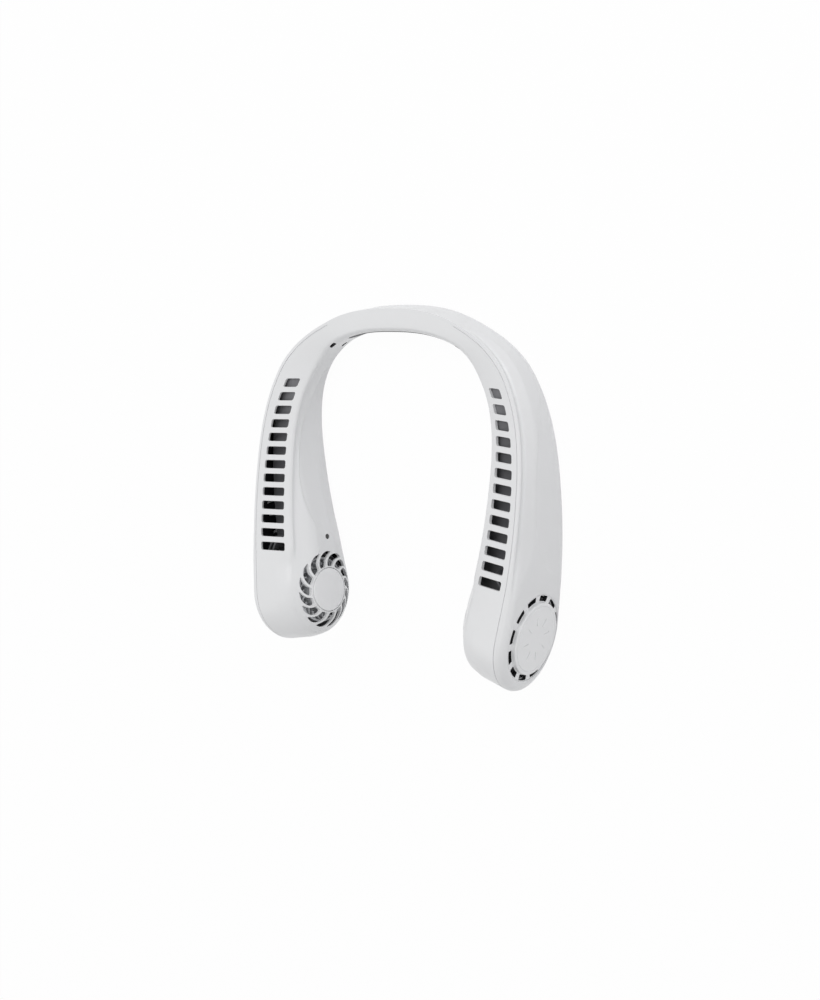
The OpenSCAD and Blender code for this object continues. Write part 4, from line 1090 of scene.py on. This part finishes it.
def maths(tree, operation, *values):
    # A Math node. Each of its values is a number, or a socket that is wired to it
    node = tree.nodes.new("ShaderNodeMath")
    node.operation = operation
    for socket, value in zip(node.inputs, values):
        if isinstance(value, bpy.types.NodeSocket):
            tree.links.new(value, socket)
        else:
            socket.default_value = value
    return node.outputs[0]


def moulded_group():
    group = bpy.data.node_groups.new("moulded surface", "ShaderNodeTree")
    for name, kind, value in GROUP_INPUTS:
        socket = group.interface.new_socket(name, in_out="INPUT", socket_type=kind)
        socket.default_value = value
    for name, kind in GROUP_OUTPUTS:
        group.interface.new_socket(name, in_out="OUTPUT", socket_type=kind)
    add, wire = group.nodes.new, group.links.new
    given, out, coordinates = add("NodeGroupInput"), add("NodeGroupOutput"), add("ShaderNodeTexCoord")
    patch, grain = add("ShaderNodeTexNoise"), add("ShaderNodeTexNoise")
    for noise, scale, detail in ((patch, "Patch Scale", 3), (grain, "Grain Scale", 2)):
        wire(coordinates.outputs["Object"], noise.inputs["Vector"])
        wire(given.outputs[scale], noise.inputs["Scale"])
        noise.inputs["Detail"].default_value = detail
    centred = maths(group, "SUBTRACT", patch.outputs["Fac"], 0.5)
    gloss = maths(group, "MULTIPLY", centred, given.outputs["Gloss Variation"])
    wire(maths(group, "ADD", gloss, given.outputs["Roughness"]), out.inputs["Roughness"])
    shade = add("ShaderNodeHueSaturation")
    wire(given.outputs["Base Color"], shade.inputs["Color"])
    wire(maths(group, "MULTIPLY_ADD", centred, given.outputs["Variation"], 1), shade.inputs["Value"])
    wire(shade.outputs["Color"], out.inputs["Base Color"])
    bump = add("ShaderNodeBump")
    bump.inputs["Distance"].default_value = WAVE_HEIGHT
    wire(given.outputs["Grain Height"], bump.inputs["Strength"])
    wire(grain.outputs["Fac"], bump.inputs["Height"])
    wire(bump.outputs["Normal"], out.inputs["Normal"])
    return group


moulded = moulded_group()
print("nodes in the moulded surface:", len(moulded.nodes))


# %% A material with that surface
def material(name, color, roughness, variation=0.03, gloss_variation=0.06, grain_scale=2500, grain_height=0.05,
             metallic=0.0, coat=0.0, coat_roughness=0.1, specular=0.5):
    made = bpy.data.materials.new(name)
    made.use_nodes = True
    tree = made.node_tree
    shader = tree.nodes["Principled BSDF"]
    surface = tree.nodes.new("ShaderNodeGroup")
    surface.node_tree = moulded
    for socket, value in (("Base Color", (*color, 1)), ("Variation", variation), ("Roughness", roughness),
                          ("Gloss Variation", gloss_variation), ("Grain Scale", grain_scale),
                          ("Grain Height", grain_height)):
        surface.inputs[socket].default_value = value
    for socket in ("Base Color", "Roughness", "Normal"):
        tree.links.new(surface.outputs[socket], shader.inputs[socket])
    shader.inputs["Metallic"].default_value = metallic
    shader.inputs["Coat Weight"].default_value = coat
    shader.inputs["Coat Roughness"].default_value = coat_roughness
    shader.inputs["Specular IOR Level"].default_value = specular
    return made


# %% Finishes of this fan
white_frame = material("white frame plastic", (0.82, 0.825, 0.835), 0.36, coat=0.15, coat_roughness=0.22)
white_cap = material("white cap plastic", (0.87, 0.875, 0.885), 0.38, coat=0.1, coat_roughness=0.25)
# Painted shade: the inside of the frame and covers, the cap slot walls and the notch walls are white plastic,
# and this near-black colour paints the shade that falls there
painted_shade_inside = material("dark inner wall", (0.02, 0.02, 0.023), 0.6, specular=0.3)
# Painted shade: the air guide is pale plastic, and this dark grey paints the shade seen through the slots
impeller_grey = material("grey impeller plastic", (0.62, 0.63, 0.65), 0.45)
guide_painted_shade = material("grey air guide plastic", (0.16, 0.16, 0.17), 0.5)
black = material("black plastic", (0.012, 0.012, 0.014), 0.3)
lens_black = material("black lens", (0.006, 0.006, 0.008), 0.08, coat=0.5, coat_roughness=0.03,
                      grain_height=0.0)
steel = material("motor steel", (0.55, 0.56, 0.58), 0.3, metallic=1, grain_scale=900)
alloy = material("cast alloy", (0.60, 0.61, 0.63), 0.42, metallic=1, grain_scale=1200)
bronze = material("bearing bronze", (0.50, 0.33, 0.14), 0.35, metallic=1)
copper = material("copper windings", (0.55, 0.22, 0.09), 0.35, metallic=1, grain_scale=3000, grain_height=0.3)
magnet_grey = material("magnet", (0.10, 0.10, 0.11), 0.5)
cell_blue = material("cell wrap", (0.03, 0.10, 0.25), 0.35)
board_green = material("circuit board", (0.012, 0.09, 0.035), 0.4)
sleeve = material("cable sleeve", (0.015, 0.015, 0.016), 0.6)
rubber = material("grey rubber pad", (0.06, 0.06, 0.065), 0.55, grain_height=0.2)
print("materials:", len(bpy.data.materials))


# %% Dress the pieces and the CAD nodes that stay
def dress(piece, *materials):
    # The second material is the painted shade of the faces marked as inner when the piece was made
    marks = [p.material_index for p in piece.data.polygons]
    piece.data.materials.clear()
    for made in materials:
        piece.data.materials.append(made)
    if len(materials) > 1:
        piece.data.polygons.foreach_set("material_index", marks)


for piece in [neck_frame] + covers:
    dress(piece, white_frame, painted_shade_inside)
for piece in discs:
    dress(piece, white_cap)
for piece in caps:
    dress(piece, white_cap, painted_shade_inside)
dress(neck_pad, rubber)
node_finish = {"impeller": impeller_grey, "rotor_can": steel, "magnet_ring": magnet_grey, "shaft": steel,
               "bearing": bronze, "stator": copper, "motor_base": alloy, "air_guide": guide_painted_shade,
               "cell": cell_blue, "main_board": board_green, "usb_socket": steel, "power_switch": black,
               "switch_stem": black, "power_button": white_cap, "status_lens": lens_black,
               "wire_harness": sleeve, "motor_screws": steel, "board_screws": steel}
for name, piece in nodes.items():
    finish = node_finish.get(name.replace("right_", "").replace("left_", ""))
    if finish:
        dress(piece, finish)
print("kinds of CAD node dressed:", len(node_finish))

# %% [markdown]
# ## Floor and light
# The photograph is lit by broad soft light on a white ground. The floor and the world show white to the
# camera, and the lamps stay at a level at which a colour renders about as it is written.

# %% Rays that see the white background: straight, in a reflection or through glass
def seeing_rays(tree):
    rays = tree.nodes.new("ShaderNodeLightPath").outputs
    seen = maths(tree, "MAXIMUM", rays["Is Camera Ray"], rays["Is Glossy Ray"])
    return maths(tree, "MAXIMUM", seen, rays["Is Transmission Ray"])


# %% Floor
FLOOR_SIZE, FLOOR_DROP = 6, 0.0002
FLOOR_GLOW = 0.97
bpy.ops.mesh.primitive_plane_add(size=FLOOR_SIZE, location=(0, 0, -FLOOR_DROP))
floor = bpy.context.object
floor.name = "floor"
paper = bpy.data.materials.new("white paper floor")
paper.use_nodes = True
tree = paper.node_tree
diffuse, glow, blend, out = (tree.nodes["Principled BSDF"], tree.nodes.new("ShaderNodeEmission"),
                             tree.nodes.new("ShaderNodeMixShader"), tree.nodes["Material Output"])
diffuse.inputs["Base Color"].default_value = (0.85, 0.85, 0.86, 1)
diffuse.inputs["Roughness"].default_value = 0.9
tree.links.new(maths(tree, "MULTIPLY", seeing_rays(tree), FLOOR_GLOW), blend.inputs["Fac"])
tree.links.new(diffuse.outputs[0], blend.inputs[1])
tree.links.new(glow.outputs[0], blend.inputs[2])
tree.links.new(blend.outputs[0], out.inputs["Surface"])
floor.data.materials.append(paper)
print("the floor keeps", round(1 - FLOOR_GLOW, 2), "of the object's shadow")

# %% World
ROOM_LEVEL = 0.52
world = bpy.data.worlds.new("studio")
bpy.context.scene.world = world
world.use_nodes = True
tree = world.node_tree
background = tree.nodes["Background"]
level = maths(tree, "MULTIPLY_ADD", seeing_rays(tree), 1 - ROOM_LEVEL, ROOM_LEVEL)
tree.links.new(level, background.inputs["Strength"])
background.inputs["Color"].default_value = (1, 1, 1, 1)
print("the room lights the object at", ROOM_LEVEL)

# %% Lamps
LAMP_TARGET = (0, 0, 0.03)


def softbox(name, location, size, power):
    lamp = bpy.data.lights.new(name, "AREA")
    lamp.shape, lamp.size, lamp.energy = "SQUARE", size, power
    holder = bpy.data.objects.new(name, lamp)
    bpy.context.scene.collection.objects.link(holder)
    holder.location = location
    holder.rotation_euler = (Vector(LAMP_TARGET) - Vector(location)).to_track_quat("-Z", "Y").to_euler()
    print(name, power, "W")


softbox("key softbox", (0.2, 0.9, 1.1), 0.9, 7.4)
softbox("side softbox", (-0.9, -0.5, 0.9), 0.8, 1.8)
softbox("right softbox", (1.1, 0.1, 0.35), 0.6, 0.9)

# %% [markdown]
# ## Camera
# The camera stands high beside the right arm and looks down on the fan. Its place, turn and lens were
# fitted until the slot rows, the grille and the cap fell on those in the photograph.

# %% Camera at the photograph's viewing angle
CAMERA_AT, CAMERA_TURN, CAMERA_LENS = (0.4458, 0.1727, 0.55004), (-18.2543, 38.2935, -5.693), 43.2
bpy.context.scene.view_settings.view_transform = "Standard"
camera_data = bpy.data.cameras.new("camera")
camera_data.sensor_width = 36
camera_data.lens = CAMERA_LENS
camera_data.clip_start = 0.01
camera = bpy.data.objects.new("camera", camera_data)
bpy.context.scene.collection.objects.link(camera)
camera.location = CAMERA_AT
camera.rotation_euler = tuple(math.radians(a) for a in CAMERA_TURN)
bpy.context.scene.camera = camera
print("camera at", CAMERA_AT, "lens", CAMERA_LENS, "mm")
